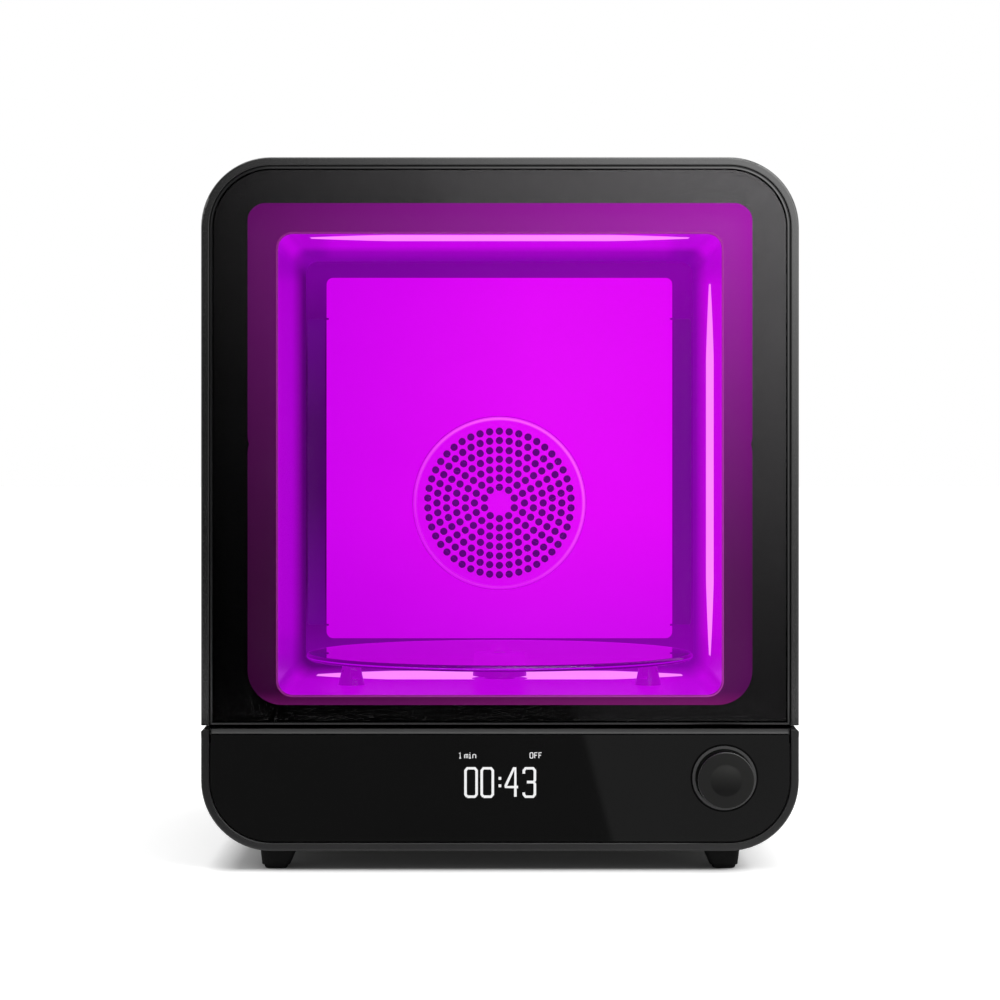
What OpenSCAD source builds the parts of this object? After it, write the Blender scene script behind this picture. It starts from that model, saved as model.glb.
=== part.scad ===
// Benchtop light curing unit. A glazed door on pivot pins closes a lit and heated chamber, where a
// glass turntable runs on three rollers. The base below holds the display, the knob and the supply.
// The front faces -Y and +Z is up. The origin is on the floor, under the middle of the bounding box.

/* [Cabinet] */
// Width over the sides
body_w = 277; // [273:1:286]
// Height of the cabinet without its feet
shell_h = 321.4; // [319.4:1:335.4]
// Depth from the fascia to the outside of the rear cover
body_d = 288; // [284:1:300]
// Radius of the four corners seen from the front
corner_r = 32.5; // [28:0.5:36]
// Wall of the shells, seen as a rim round the glass and the fascia
wall = 3.7; // [3.2:0.1:4.2]
// Rounding of the rim's outer front edge
rim_round = 1; // [0.6:0.1:2.4]
// Bevel on the rim's inner front edge
rim_break = 0.5; // [0.3:0.1:0.8]
// Gap between the rim and the glass or the fascia
face_gap = 0.9; // [0.5:0.1:1.2]
// Thickness of the rear cover
cover_t = 3; // [2.5:0.1:4]

/* [Feet] */
// Height from the floor to the underside of the cabinet
foot_h = 9.4; // [7:0.1:14]
// Width of a foot where it meets the cabinet
foot_w = 16.8; // [14:0.1:20]
// Length of a foot from front to back
foot_l = 24; // [16:1:34]
// Slant of the inner side of a foot
foot_slant = 3; // [1:0.1:4]
// Slant of the outer side of a foot
foot_lean = 0.8; // [0.4:0.1:3]
// Height of the pad under a foot
pad_h = 1.9; // [1.4:0.1:2.6]
// Distance from the side of the cabinet to a foot
foot_in = 26.8; // [24:0.1:32]
// Distance from the fascia to a front foot, and from the rear to a rear foot
foot_back = 7; // [6:1:24]

/* [Base] */
// Height of the base housing
base_h = 56.5; // [54.5:0.5:60]
// Bevel along the top edges of the base
base_bevel = 2.4; // [1.4:0.1:2.6]
// Height of the base's walls above the deck, beside the strip under the door
shoulder_h = 1.2; // [0.6:0.1:1.3]
// Bevel on the front ends of those walls
shoulder_bevel = 1.7; // [1:0.1:2]
// Bevel along the strip under the door
strip_bevel = 2; // [1:0.1:2]
// Height of the bevelled strip between the fascia and the door
strip_h = 2.1; // [2.1:0.1:2.8]
// Groove between that strip and the fascia
strip_gap = 0.6; // [0.4:0.1:1]
// Thickness of the gloss fascia
fascia_t = 3.5; // [3:0.1:4.5]
// Thickness of the deck between the base and the chamber
deck_t = 3; // [2:0.1:4]

/* [Door] */
// Thickness of the door
door_t = 26; // [24:0.5:30]
// Gap between the base and the door
door_gap = 1.7; // [1:0.1:2.4]
// Space between the door and the front flange, which the seal fills
seal_gap = 3; // [2.6:0.1:4]
// Thickness of the front glass
glass_t = 4; // [3:0.1:5]
// Thickness of the printed border behind the glass
mask_t = 0.4; // [0.2:0.1:0.8]
// Width of the black border beside the clear window
window_in = 21.3; // [20.6:0.1:25]
// Width of the black border above the clear window
window_top = 21; // [20.5:0.1:26]
// Height of the window above the bottom of the door
window_low = 9.2; // [8:0.1:10]
// Radius of the window's upper corners
window_r = 8; // [4:0.5:14]
// Radius of the window's lower corners
window_low_r = 16; // [8:0.5:20]
// Thickness of the door's inner panel
panel_t = 3; // [2:0.1:4]
// Distance of the pivot from the side and from the back of the door
pivot_in = 7; // [6.5:0.1:7.4]
// Radius of the hinge pins
pin_r = 2.5; // [2:0.1:2.6]
// Wall of the hinge bushes
bush_t = 1.4; // [1:0.1:1.6]
// Thickness of the upper hinge arm
arm_t = 8; // [6:0.5:10]
// Width of the upper hinge arm
arm_w = 9; // [8:0.1:9.4]
// Distance from the top of the cabinet to the upper hinge arm
arm_drop = 43.5; // [41:0.1:66]
// Height of the finger recess above the bottom of the door
grip_low = 120; // [90:1:150]
// Length of the finger recess in the door's right edge
grip_l = 56; // [40:1:80]
// Depth of the finger recess
grip_d = 8; // [6:0.5:9]

/* [Chamber] */
// Distance from the side of the cabinet to the chamber
ch_in = 33.5; // [32.5:0.5:35]
// Distance from the top of the cabinet to the chamber's ceiling
ch_top = 33.4; // [32.4:0.1:35]
// Distance from the chamber's back wall to the rear cover
ch_back = 45; // [42:0.5:48]
// Radius of the chamber's four long corners
ch_r = 7; // [4:0.5:9]
// Height of the chamber floor above the deck
ch_lift = 13.3; // [13:0.1:14]
// Thickness of the moulded liner
liner_t = 1.5; // [1.2:0.1:2]
// Thickness of the front flange
flange_t = 2.5; // [2:0.1:4]
// Thickness of the sheet behind the chamber
back_t = 1.2; // [1:0.1:2]
// Depth of the air space behind the chamber
plenum_d = 17.8; // [17:0.2:19]
// Thickness of the insulation round the chamber
wrap_t = 10; // [6:0.5:11]

/* [Back panel] */
// Space beside the bright back panel
panel_in = 11.3; // [11:0.1:13]
// Space above the back panel
panel_top = 8.9; // [7:0.1:12]
// Height of the back panel above the chamber floor
panel_low = 13.9; // [12:0.1:16]
// Radius of the back panel's corners
panel_r = 3.6; // [2:0.1:6]
// Thickness of the back panel
diffuser_t = 2.2; // [1.6:0.1:3]
// Width of the air outlets beside the back panel
outlet_w = 9.4; // [7:0.1:9.6]
// Distance from the chamber's ceiling to the air outlets
outlet_top = 31.1; // [24:0.1:50]
// Height of the air outlets above the chamber floor
outlet_low = 21.1; // [18:0.1:30]

/* [Fan grille] */
// Radius of the grille, at the outside of its raised ring
grille_r = 47; // [45:0.1:48]
// Height of the grille's centre above the chamber floor
grille_rise = 87.2; // [70:0.1:120]
// Thickness of the grille sheet
grille_t = 1.4; // [1:0.1:2]
// Radius of one hole
hole_r = 2; // [1.6:0.05:2.2]
// Number of rings of holes
hole_rings = 7; // [5:1:7]
// Radius of the innermost ring of holes
first_ring = 8.5; // [8.2:0.1:9]
// Distance between rings of holes
ring_pitch = 5.08; // [4.9:0.02:5.2]

/* [Light bars] */
// Distance from the ends of the ceiling bar to the chamber's sides
top_in = 13.8; // [10:0.1:28]
// Width of the light bar in the ceiling
top_w = 41; // [30:1:50]
// Distance from the front flange to the middle of the ceiling bar
top_back = 27; // [26:1:60]
// Distance from the ends of the right bar to the chamber's floor and ceiling, on average
side_in = 16.35; // [14.5:0.05:32]
// Width of the light bar in the right wall
side_w = 52; // [36:1:60]
// Distance from the front flange to the middle of the right bar
side_back = 79.5; // [60:0.5:110]
// Distance from the ends of the floor bar to the chamber's sides
floor_in = 11; // [9:0.5:20]
// Width of the light bar in the floor
floor_w = 58; // [48:1:60]
// Distance from the turntable's axis back to the middle of the floor bar
floor_back = 21.75; // [20:0.25:23]
// Height of the cooling fins on the light boards
fin_h = 4.6; // [3:0.2:4.8]

/* [Turntable] */
// Space between the glass turntable and the nearest wall of the chamber
table_gap = 6.25; // [4:0.25:9]
// Thickness of the glass turntable
table_t = 3.1; // [2.5:0.1:4]
// Height of the turntable's top above the chamber floor
table_rise = 13.4; // [13:0.1:16]
// Radius of the turntable's hub
hub_r = 13.7; // [12:0.1:14.5]
// Radius of the drive shaft
shaft_r = 3.5; // [3:0.1:4]
// Distance from the turntable's rim to the circle that the rollers run on
track_in = 13.4; // [10:0.2:17]
// Radius of a roller
roller_r = 3.2; // [2.8:0.1:3.4]
// Width of a roller
roller_w = 4; // [3:0.1:4.4]
// Radius of a roller pin
axle_r = 0.8; // [0.6:0.05:1]
// Radius of a roller post at the floor
post_r = 6.4; // [5.8:0.1:7.2]
// Radius of a roller post at its top
post_top_r = 4.5; // [4.2:0.1:5]
// Radius of the turntable gearmotor
motor_r = 24.5; // [20:0.5:26]
// Height of the turntable gearmotor
motor_h = 15; // [12:0.5:18]

/* [Controls] */
// Radius of the knob where it meets the fascia
knob_r = 13.2; // [11.8:0.1:13.4]
// Radius of the knob's front face
knob_face_r = 13.1; // [11:0.1:13.2]
// Radius of the low dome on the knob's face
dome_r = 7.2; // [5:0.1:10]
// Height of that dome
dome_h = 0.8; // [0.3:0.1:1.6]
// How far the knob stands out of the fascia
knob_out = 12; // [9:0.5:15]
// Distance from the side of the cabinet to the middle of the knob
knob_in = 34.6; // [32:0.1:40]
// Height of the knob and the display above the underside
knob_rise = 33.85; // [30.1:0.25:35.1]
// Travel of the knob when it is pressed
press = 0.8; // [0.4:0.1:1]
// Width of the display behind the fascia
display_w = 56; // [50:1:70]
// Height of the display behind the fascia
display_h = 26; // [20:1:28]

/* [Air and power] */
// Radius of the chamber fan's wheel
wheel_r = 40; // [36:0.5:41]
// Side of the square cooling fan
fan_side = 60; // [50:1:64]
// Depth of the cooling fan
fan_d = 15; // [12:0.5:18]
// Width of the mains inlet's cut-out
inlet_w = 27; // [26.6:0.1:28]
// Height of the mains inlet's cut-out
inlet_h = 19.8; // [19.4:0.1:21]
// Width of the power rocker
rocker_w = 11; // [9:0.5:12]
// Height of the power rocker
rocker_h = 18; // [15:0.5:19]
// Tilt of the rocker to each side of its middle
rocker_tilt = 9; // [6:0.5:11]

/* [Fits] */
// Radial clearance of every shaft and pin that turns
run_gap = 0.05; // [0.02:0.01:0.08]
// Clearance round pieces that drop into a pocket
seat_gap = 0.2; // [0.1:0.05:0.28]

/* [Hidden] */
$fn = 96;
over = 1;

total_d = body_d + knob_out;
front_y = knob_out - total_d / 2;
rear_y = total_d / 2;
cover_y = rear_y - cover_t;
fascia_y = front_y + fascia_t;
door_y = front_y + door_t;
face_y = door_y + seal_gap;
mask_y = front_y + glass_t;
pocket_y = mask_y + mask_t;
liner_y = face_y + flange_t;
wall_y = cover_y - ch_back;
ch_d = wall_y - liner_y;
plenum_y = wall_y + back_t;
duct_y = plenum_y + plenum_d;

under_z = foot_h;
deck_z = under_z + base_h;
door_z = deck_z + door_gap;
top_z = under_z + shell_h;
mid_z = under_z + shell_h / 2;
run_x = body_w / 2 - corner_r;
run_z = shell_h / 2 - corner_r;
inner_x = body_w / 2 - wall - seat_gap;

ch_w = body_w - 2 * ch_in;
ch_h = shell_h - base_h - ch_lift - ch_top;
floor_z = deck_z + ch_lift;
ceil_z = floor_z + ch_h;
panel_w = ch_w - 2 * panel_in;
panel_h = ch_h - panel_low - panel_top;
outlet_h = ch_h - outlet_low - outlet_top;
top_l = ch_w - 2 * top_in;
side_l = ch_h - 2 * side_in;
side_drop = 3;
floor_l = ch_w - 2 * floor_in;
grille_z = floor_z + grille_rise;
table_z = floor_z + table_rise;
glass_z = table_z - table_t;
table_y = (liner_y + wall_y) / 2;
table_r = min(ch_w, ch_d) / 2 - table_gap;
track_r = table_r - track_in;
roll_gap = 0.15;
roller_z = glass_z - roll_gap - roller_r;
hub_gap = 0.4;
bush_lip = 1;
hub_z = floor_z + bush_lip + hub_gap;
shaft_top = glass_z;
motor_z = deck_z - deck_t - motor_h;

pivot_x = pivot_in - body_w / 2;
pivot_y = door_y - pivot_in;
arm_z = top_z - arm_drop - arm_t;
arm_slack = 0.6;
bush_r = pin_r + run_gap + bush_t;
bush_h = 9;
knuckle_z = [door_z + 0.3, arm_z - arm_slack - bush_h, arm_z + arm_t + arm_slack];
frame_lip = 0.7;
window_z = door_z + window_low;
window_w = body_w - 2 * window_in;
window_h = top_z - window_top - window_z;
clear_w = window_w + 5;
clear_low = 2;
clear_h = window_h + 2 * clear_low;
clear_r = 10;
inner_l = 2 * pivot_in - body_w / 2;
inner_r = body_w / 2 - 7;
inner_low = 2.5;
inner_top = 9;
inner_corner = corner_r - 6.5;
grip_z = door_z + grip_low;
magnet_z = [door_z + 45, top_z - 72];
magnet_x = body_w / 2 - 12;
magnet_w = 6;
magnet_h = 18;
plate_w = 10;
plate_h = 20;
plate_t = 1.5;

knob_x = body_w / 2 - knob_in;
control_z = under_z + knob_rise;
fascia_in = 0.3;
display_z = control_z - 1.85;
bezel_in = 13.5;
bezel_r = 14.8;
well_r = 15.3;
stem_r = 3;
board_y = fascia_y + 8.5;
board_t = 1.6;
encoder_w = 12;
encoder_d = 7;
plunger_r = 4.2;

tray_d = 4;
tray_in = 50;
tray_x = tray_in - body_w / 2;
tray_z = under_z + 30;
tray_w = 72;
tray_h = 27;
tray_y = rear_y - tray_d;
tray_t = 2;
inlet_x = tray_x - 15;
switch_x = tray_x + 20;
rocker_y = tray_y - 1.5;
fan_in = 66;
fan_x = body_w / 2 - fan_in;
fan_z = ceil_z - 46;
screw_r = 1.6;
foot_sink = 2;
pad_in = 1;
boss_r = 5.6;
boss_l = 14;
boss_bore = 12;
boss_low = [run_x + 2, under_z + wall + 5];
boss_top = [run_x + 4, top_z - wall - 12];
stand_h = 4.5;
stud_x = 18;
stud_z = 14;
pin_head_r = pin_r + 0.7;

// Flat shapes

// A rectangle with round corners, centred across and standing on the axis
module rounded(w, h, r) {
  translate([r - w / 2, 0]) square([w - 2 * r, h]);
  translate([-w / 2, r]) square([w, h - 2 * r]);
  for (x = [r - w / 2, w / 2 - r], y = [r, h - r]) translate([x, y]) circle(r);
}

// A slot with round ends, centred
module slot(l, w) {
  square([l - w, w], center = true);
  for (x = [-1, 1]) translate([x * (l - w) / 2, 0]) circle(w / 2);
}

// The cabinet's front outline, drawn in by an inset
module outline(inset) {
  translate([0, under_z + inset])
    rounded(body_w - 2 * inset, shell_h - 2 * inset, corner_r - inset);
}

// A long window whose ends taper, drawn out by grow
function lens_sag(w) = 0.6 * w;
function lens_arc(l, w) = (l * l / 4 + lens_sag(w) * lens_sag(w)) / (2 * lens_sag(w));
module lens(l, w, grow) {
  arc = lens_arc(l, w);
  intersection() {
    square([l + 2 * grow, w + 2 * grow], center = true);
    translate([0, arc - 0.7 * w]) circle(arc + grow);
    translate([0, 0.7 * w - arc]) circle(arc + grow);
  }
}

// Placing

// Extrudes a front view from one depth to another
module along_y(y0, y1) {
  translate([0, y1, 0]) rotate([90, 0, 0]) linear_extrude(y1 - y0) children();
}

// A cylinder along the depth
module rod_y(x, z, r, y0, y1) {
  translate([x, y1, z]) rotate([90, 0, 0]) cylinder(r = r, h = y1 - y0);
}

// Carries a profile round the outline. Its x runs out from the corner centre, its y runs back.
module round_outline() {
  translate([0, 0, mid_z]) for (sx = [0, 1], sz = [0, 1]) mirror([sx, 0, 0]) mirror([0, 0, sz]) {
    translate([run_x, 0, run_z]) rotate([-90, 0, 0]) rotate([0, 0, -90])
      rotate_extrude(angle = 90) children();
    translate([run_x, 0, run_z]) rotate([0, -90, 0]) linear_extrude(run_x) children();
    translate([run_x, 0, 0]) linear_extrude(run_z) children();
  }
}

// Section of a shell wall whose outer front edge is rounded and whose inner one is bevelled
module wall_section(y0, y1, r) {
  difference() {
    translate([corner_r - wall, y0]) square([wall, y1 - y0]);
    translate([corner_r - r, y0]) square([r, r]);
    translate([corner_r - wall, y0]) rotate(45) square(rim_break * sqrt(2), center = true);
  }
  intersection() {
    translate([corner_r - r, y0]) square([r, r]);
    translate([corner_r - r, y0 + r]) circle(r);
  }
}

// Everything below or above a height
module below(z) {
  translate([-body_w, -total_d, z - 2 * total_d]) cube([2 * body_w, 2 * total_d, 2 * total_d]);
}
module above(z) {
  translate([-body_w, -total_d, z]) cube([2 * body_w, 2 * total_d, 2 * total_d]);
}

// Places a piece in each of the three roller stations, with x pointing out from the middle
roller_angles = [210, -30, 90];
module at_roller(i) {
  translate([0, table_y, 0]) rotate(roller_angles[i]) translate([track_r, 0, 0]) children();
}

// Places a light bar with z pointing out of the chamber
module at_top_bar() { translate([0, liner_y + top_back, ceil_z]) children(); }
module at_side_bar() {
  translate([ch_w / 2, liner_y + side_back, (floor_z + ceil_z) / 2 - side_drop]) rotate([0, 90, 0])
    children();
}
module at_floor_bar() {
  translate([0, table_y + floor_back, floor_z]) mirror([0, 0, 1]) children();
}

// Base

module base_housing() {
  color("dimgray") difference() {
    union() {
      intersection() {
        round_outline() wall_section(front_y, cover_y - seat_gap, rim_round);
        union() {
          below(deck_z);
          translate([-body_w, -total_d, 0])
            cube([2 * body_w, total_d + door_y, deck_z + shoulder_h]);
        }
      }
      // Lip behind the fascia
      intersection() {
        along_y(fascia_y + seat_gap, fascia_y + 2) difference() {
          outline(wall - over);
          outline(wall + face_gap + 1.6);
        }
        below(deck_z - deck_t - 4);
      }
      // Ledges under the deck
      for (s = [0, 1]) mirror([s, 0, 0])
        translate([inner_x + seat_gap - 4, liner_y, deck_z - deck_t - 3])
          cube([4 + over, cover_y - liner_y - 12, 3]);
      // Bosses under the supply board
      for (x = supply_xs, y = supply_ys)
        translate([x, y, under_z + over]) cylinder(r = 3.5, h = wall + stand_h - over);
      // Bosses for the rear cover
      for (x = [-1, 1])
        rod_y(x * boss_low[0], boss_low[1], boss_r, cover_y - boss_l, cover_y - seat_gap);
    }
    for (x = [-1, 1]) translate([x * body_w / 2, 0, deck_z + shoulder_h]) rotate([0, x * 45, 0])
      cube([base_bevel * sqrt(2), 2 * total_d, 4 * base_bevel], center = true);
    translate([0, front_y, deck_z + shoulder_h]) rotate([45, 0, 0])
      cube([2 * body_w, shoulder_bevel * sqrt(2), 4 * shoulder_bevel], center = true);
    // Air intake slots under the base
    for (i = [0:8]) translate([-40 + 10 * i, 20, under_z - over])
      linear_extrude(wall + 2 * over) rotate(90) slot(46, 3.4);
    for (x = [-1, 1]) rod_y(x * boss_low[0], boss_low[1], screw_r, cover_y - boss_bore, rear_y);
    for (p = foot_spots) translate([p[0], p[1], under_z - over]) cylinder(r = screw_r, h = 12);
  }
}

foot_mid = body_w / 2 - foot_in - foot_w / 2;
foot_front_y = front_y + foot_back + foot_l / 2;
foot_rear_y = rear_y - foot_back - foot_l / 2;
foot_spots = [for (x = [-foot_mid, foot_mid], y = [foot_front_y, foot_rear_y]) [x, y]];
supply_in = 34;
supply_w = 80;
supply_xs = [supply_in - body_w / 2, supply_in + supply_w - body_w / 2];
supply_ys = [cover_y - 127, cover_y - 39];

// A foot whose inner side slants more than its outer side, on a rubber pad
module foot() {
  r = 3;
  low_l = foot_lean - foot_w / 2;
  low_r = foot_w / 2 - foot_slant;
  low_d = foot_l - foot_slant;
  hull() {
    for (x = [-1, 1], y = [-1, 1])
      translate([x * (foot_w / 2 - r), y * (foot_l / 2 - r), foot_h - over])
        cylinder(r = r, h = over + foot_sink, $fn = 32);
    for (x = [low_l + r, low_r - r], y = [-1, 1])
      translate([x, y * (low_d / 2 - r), pad_h]) cylinder(r = r, h = over, $fn = 32);
  }
  translate([(low_l + low_r) / 2, pad_in - low_d / 2, 0]) linear_extrude(pad_h + over)
    rounded(low_r - low_l - 2 * pad_in, low_d - 2 * pad_in, r - pad_in);
}

module feet() {
  color("#151515") difference() {
    for (p = foot_spots) translate([p[0], p[1], 0]) mirror([p[0] > 0 ? 1 : 0, 0, 0]) foot();
    along_y(-total_d, total_d) outline(0);
  }
}

// The deck ends in front in a bevelled strip above the fascia
module deck_plate() {
  y0 = fascia_y + seat_gap;
  strip_x = body_w / 2 - wall - face_gap;
  color("#1c1c1c") difference() {
    union() {
      translate([-inner_x, y0, deck_z - deck_t])
        cube([2 * inner_x, cover_y - seat_gap - y0, deck_t]);
      translate([-strip_x, front_y + fascia_in, deck_z - strip_h])
        cube([2 * strip_x, y0 + over - front_y - fascia_in, strip_h]);
    }
    translate([0, front_y + fascia_in, deck_z]) rotate([45, 0, 0])
      cube([2 * body_w, strip_bevel * sqrt(2), 4 * strip_bevel], center = true);
    translate([pivot_x, pivot_y, deck_z - deck_t - over]) cylinder(r = pin_r, h = deck_t + 2 * over);
    translate([0, table_y, deck_z - deck_t - over]) cylinder(r = 8, h = deck_t + 2 * over);
    // Cable slots
    for (x = [-1, 1]) translate([x * (body_w / 2 - 30), cover_y - 29, deck_z - deck_t - over])
      linear_extrude(deck_t + 2 * over) slot(30, 12);
  }
}

module fascia_panel() {
  color("#101010") difference() {
    union() {
      intersection() {
        along_y(front_y + fascia_in, fascia_y) outline(wall + face_gap);
        below(deck_z - strip_h - strip_gap);
      }
      // Studs that carry the control board
      for (x = [-1, 1], z = [-1, 1])
        rod_y(knob_x + x * stud_x, control_z + z * stud_z, 2.5, fascia_y - over, board_y);
    }
    rod_y(knob_x, control_z, well_r, front_y - over, fascia_y + over);
    // Thin wall in front of the display
    translate([-display_w / 2 - seat_gap, fascia_y - 2, display_z - display_h / 2 - seat_gap])
      cube([display_w + 2 * seat_gap, 2 + over, display_h + 2 * seat_gap]);
    for (x = [-1, 1], z = [-1, 1])
      rod_y(knob_x + x * stud_x, control_z + z * stud_z, 1, fascia_y, board_y + over);
  }
}

module display_module() {
  color("midnightblue") {
    translate([-display_w / 2, fascia_y - 1.9, display_z - display_h / 2])
      cube([display_w, 2, display_h]);
    difference() {
      translate([-display_w / 2 - 4, fascia_y, display_z - display_h / 2 - 4])
        cube([display_w + 8, board_t, display_h + 8]);
      for (x = [-1, 1], z = [-1, 1])
        rod_y(x * (display_w / 2 + 1.5), display_z + z * (display_h / 2 + 1.5), 1,
          fascia_y - over, fascia_y + board_t + over);
    }
    translate([-12, fascia_y + board_t - 0.1, display_z - display_h / 2 - 1]) cube([24, 3, 5]);
    for (x = [-16, 6]) translate([x, fascia_y + board_t - 0.1, display_z - 2])
      cube([9, 1.4, 9]);
  }
}

module control_board() {
  color("darkgreen") {
    difference() {
      translate([knob_x - 22, board_y, control_z - 18]) cube([42, board_t, 36]);
      for (x = [-1, 1], z = [-1, 1]) rod_y(knob_x + x * stud_x, control_z + z * stud_z, 1,
        board_y - over, board_y + board_t + over);
    }
    translate([knob_x - 15, board_y + board_t - 0.1, control_z - 6]) cube([12, 1.6, 12]);
    translate([knob_x + 1, board_y + board_t - 0.1, control_z - 12]) cube([12, 6, 5]);
    translate([knob_x + 1, board_y + board_t - 0.1, control_z + 5]) cube([12, 6, 5]);
  }
}

module encoder_body() {
  y0 = board_y - encoder_d;
  color("silver") difference() {
    union() {
      translate([knob_x - encoder_w / 2, y0, control_z - encoder_w / 2])
        cube([encoder_w, encoder_d, encoder_w]);
      rod_y(knob_x, control_z, 4.6, y0 - 3, y0 + over);
    }
    rod_y(knob_x, control_z, stem_r + run_gap, y0 - 3 - over, board_y - 1.5);
    rod_y(knob_x, control_z, plunger_r + run_gap, y0 + 1, board_y - 1);
  }
}

module encoder_plunger() {
  color("white") difference() {
    rod_y(knob_x, control_z, plunger_r, board_y - 5, board_y - 2.4);
    rod_y(knob_x, control_z, stem_r + run_gap, board_y - 5 - over, board_y - 2.4 + over);
  }
}

module encoder_shaft() {
  color("silver") rod_y(knob_x, control_z, stem_r, front_y - knob_out + 3.4, board_y - 2.1);
}

// The knob is a turned cup with a low dome on its face and a boss for the shaft
module knob() {
  edge = 1.2;
  back = press - fascia_in;
  face = knob_out - dome_h;
  ball = (dome_r * dome_r + dome_h * dome_h) / (2 * dome_h);
  color("#1c1c1c") translate([knob_x, front_y, control_z]) rotate([90, 0, 0]) rotate_extrude() {
    difference() {
      union() {
        polygon([[0, back], [knob_r, back], [knob_face_r, face - edge], [knob_face_r - edge, face - edge],
          [knob_face_r - edge, face], [0, face]]);
        translate([knob_face_r - edge, face - edge]) circle(edge);
      }
      // Hollow behind the face
      translate([5.5, back - over]) square([knob_r - 2 - 5.5, knob_out - 3.5 - back + over]);
      translate([0, back - over]) square([stem_r, knob_out - 3.4 - back + over]);
    }
    intersection() {
      translate([0, knob_out - ball]) circle(ball);
      translate([0, face - over]) square([dome_r, dome_h + 2 * over]);
    }
  }
}

module knob_bezel() {
  color("gray") translate([knob_x, front_y, control_z]) rotate([90, 0, 0]) rotate_extrude() {
    translate([bezel_in, -fascia_t - 1.2]) square([bezel_r - bezel_in, fascia_t + 1.6]);
    translate([bezel_in, -fascia_t - 1.2]) square([bezel_r - bezel_in + 3, 1.2]);
  }
}

// Supply in the base

module power_supply() {
  z0 = under_z + wall + stand_h;
  x0 = supply_xs[0] - 6;
  y0 = supply_ys[0] - 6;
  w = supply_w + 12;
  d = supply_ys[1] - supply_ys[0] + 12;
  part_h = 26;
  sink_y = y0 + d - 34;
  fins = 8;
  fin_pitch = (w - 31) / (fins - 1);
  color("olive") {
    difference() {
      translate([x0, y0, z0]) cube([w, d, board_t]);
      for (x = supply_xs, y = supply_ys) translate([x, y, z0 - over])
        cylinder(r = screw_r, h = board_t + 2 * over);
    }
    for (p = [[16, 20], [16, 36], [34, 20]]) translate([x0 + p[0], y0 + p[1], z0 + over])
      cylinder(r = 7, h = part_h);
    translate([x0 + w / 2 - 2, y0 + 34, z0 + over]) cube([w / 2 - 14, 28, part_h - 2]);
    // Heat sink with fins
    translate([x0 + 12, sink_y, z0 + over]) cube([w - 28, 3, part_h]);
    for (i = [0:fins - 1])
      translate([x0 + 12 + fin_pitch * i, sink_y, z0 + over]) cube([3, 14, part_h]);
  }
}

module power_inlet() {
  color("#202020") difference() {
    union() {
      translate([inlet_x, 0, tray_z]) along_y(tray_y, tray_y + 2)
        translate([0, -inlet_h / 2 - 2.2]) rounded(inlet_w + 4.4, inlet_h + 4.4, 2.5);
      translate([inlet_x, 0, tray_z]) along_y(tray_y - 18, tray_y + over)
        translate([0, seat_gap - inlet_h / 2])
          rounded(inlet_w - 2 * seat_gap, inlet_h - 2 * seat_gap, 2);
    }
    translate([inlet_x, 0, tray_z]) along_y(tray_y - 14, tray_y + 3)
      translate([0, 1.8 - inlet_h / 2]) rounded(inlet_w - 3, inlet_h - 3.6, 1.5);
    for (p = pin_spots) translate([inlet_x + p[0] - 1, tray_y - 24, tray_z + p[1] - 2])
      cube([2, 12, 4]);
  }
}

pin_spots = [[-7, -1.6], [0, 2], [7, -1.6]];
module inlet_pins() {
  color("gold") for (p = pin_spots)
    translate([inlet_x + p[0] - 1, tray_y - 24, tray_z + p[1] - 2]) cube([2, 21, 4]);
}

module switch_frame() {
  w = rocker_w + 3;
  h = rocker_h + 3.6;
  color("#202020") difference() {
    union() {
      translate([switch_x, 0, tray_z]) along_y(tray_y, tray_y + 1.8)
        translate([0, -h / 2 - 1.5]) rounded(w + 3, h + 3, 1.5);
      translate([switch_x - w / 2 + seat_gap, tray_y - 14, tray_z - h / 2 + seat_gap])
        cube([w - 2 * seat_gap, 15, h - 2 * seat_gap]);
    }
    translate([switch_x - rocker_w / 2 - 0.3, tray_y - 10, tray_z - rocker_h / 2 - 0.8])
      cube([rocker_w + 0.6, 14, rocker_h + 1.6]);
    translate([switch_x - w / 2 + 0.8, rocker_y, tray_z]) rotate([0, 90, 0])
      cylinder(r = 1 + run_gap, h = w - 1.6);
  }
}

// The rocker's two faces meet at a shallow valley, and it rests tilted to one side
module power_rocker() {
  h = rocker_h / 2;
  color("#303030") translate([switch_x, rocker_y, tray_z]) rotate([-rocker_tilt, 0, 0]) {
    translate([-rocker_w / 2, 0, 0]) rotate([90, 0, 90]) linear_extrude(rocker_w)
      polygon([[-3, -h + 2], [2.2, -h], [3.2, -h + 0.6], [1.9, 0], [3.2, h - 0.6], [2.2, h],
        [-3, h - 2]]);
    translate([-rocker_w / 2 - 0.6, 0, 0]) rotate([0, 90, 0]) cylinder(r = 1, h = rocker_w + 1.2);
  }
}

// Cabinet

module upper_shell() {
  color("#2a2a2a") {
    intersection() {
      round_outline() wall_section(face_y, cover_y - seat_gap, 1);
      above(deck_z);
    }
    // Bosses for the rear cover, each hung from a rib
    for (x = [-1, 1]) difference() {
      union() {
        rod_y(x * boss_top[0], boss_top[1], boss_r, cover_y - boss_l, cover_y - seat_gap);
        translate([x * boss_top[0] - 2, cover_y - boss_l, boss_top[1]])
          cube([4, boss_l - seat_gap, 12]);
      }
      rod_y(x * boss_top[0], boss_top[1], screw_r, cover_y - boss_bore, cover_y);
    }
  }
}

cover_holes = [for (p = [boss_low, boss_top], x = [-1, 1]) [x * p[0], p[1]]];

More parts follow.
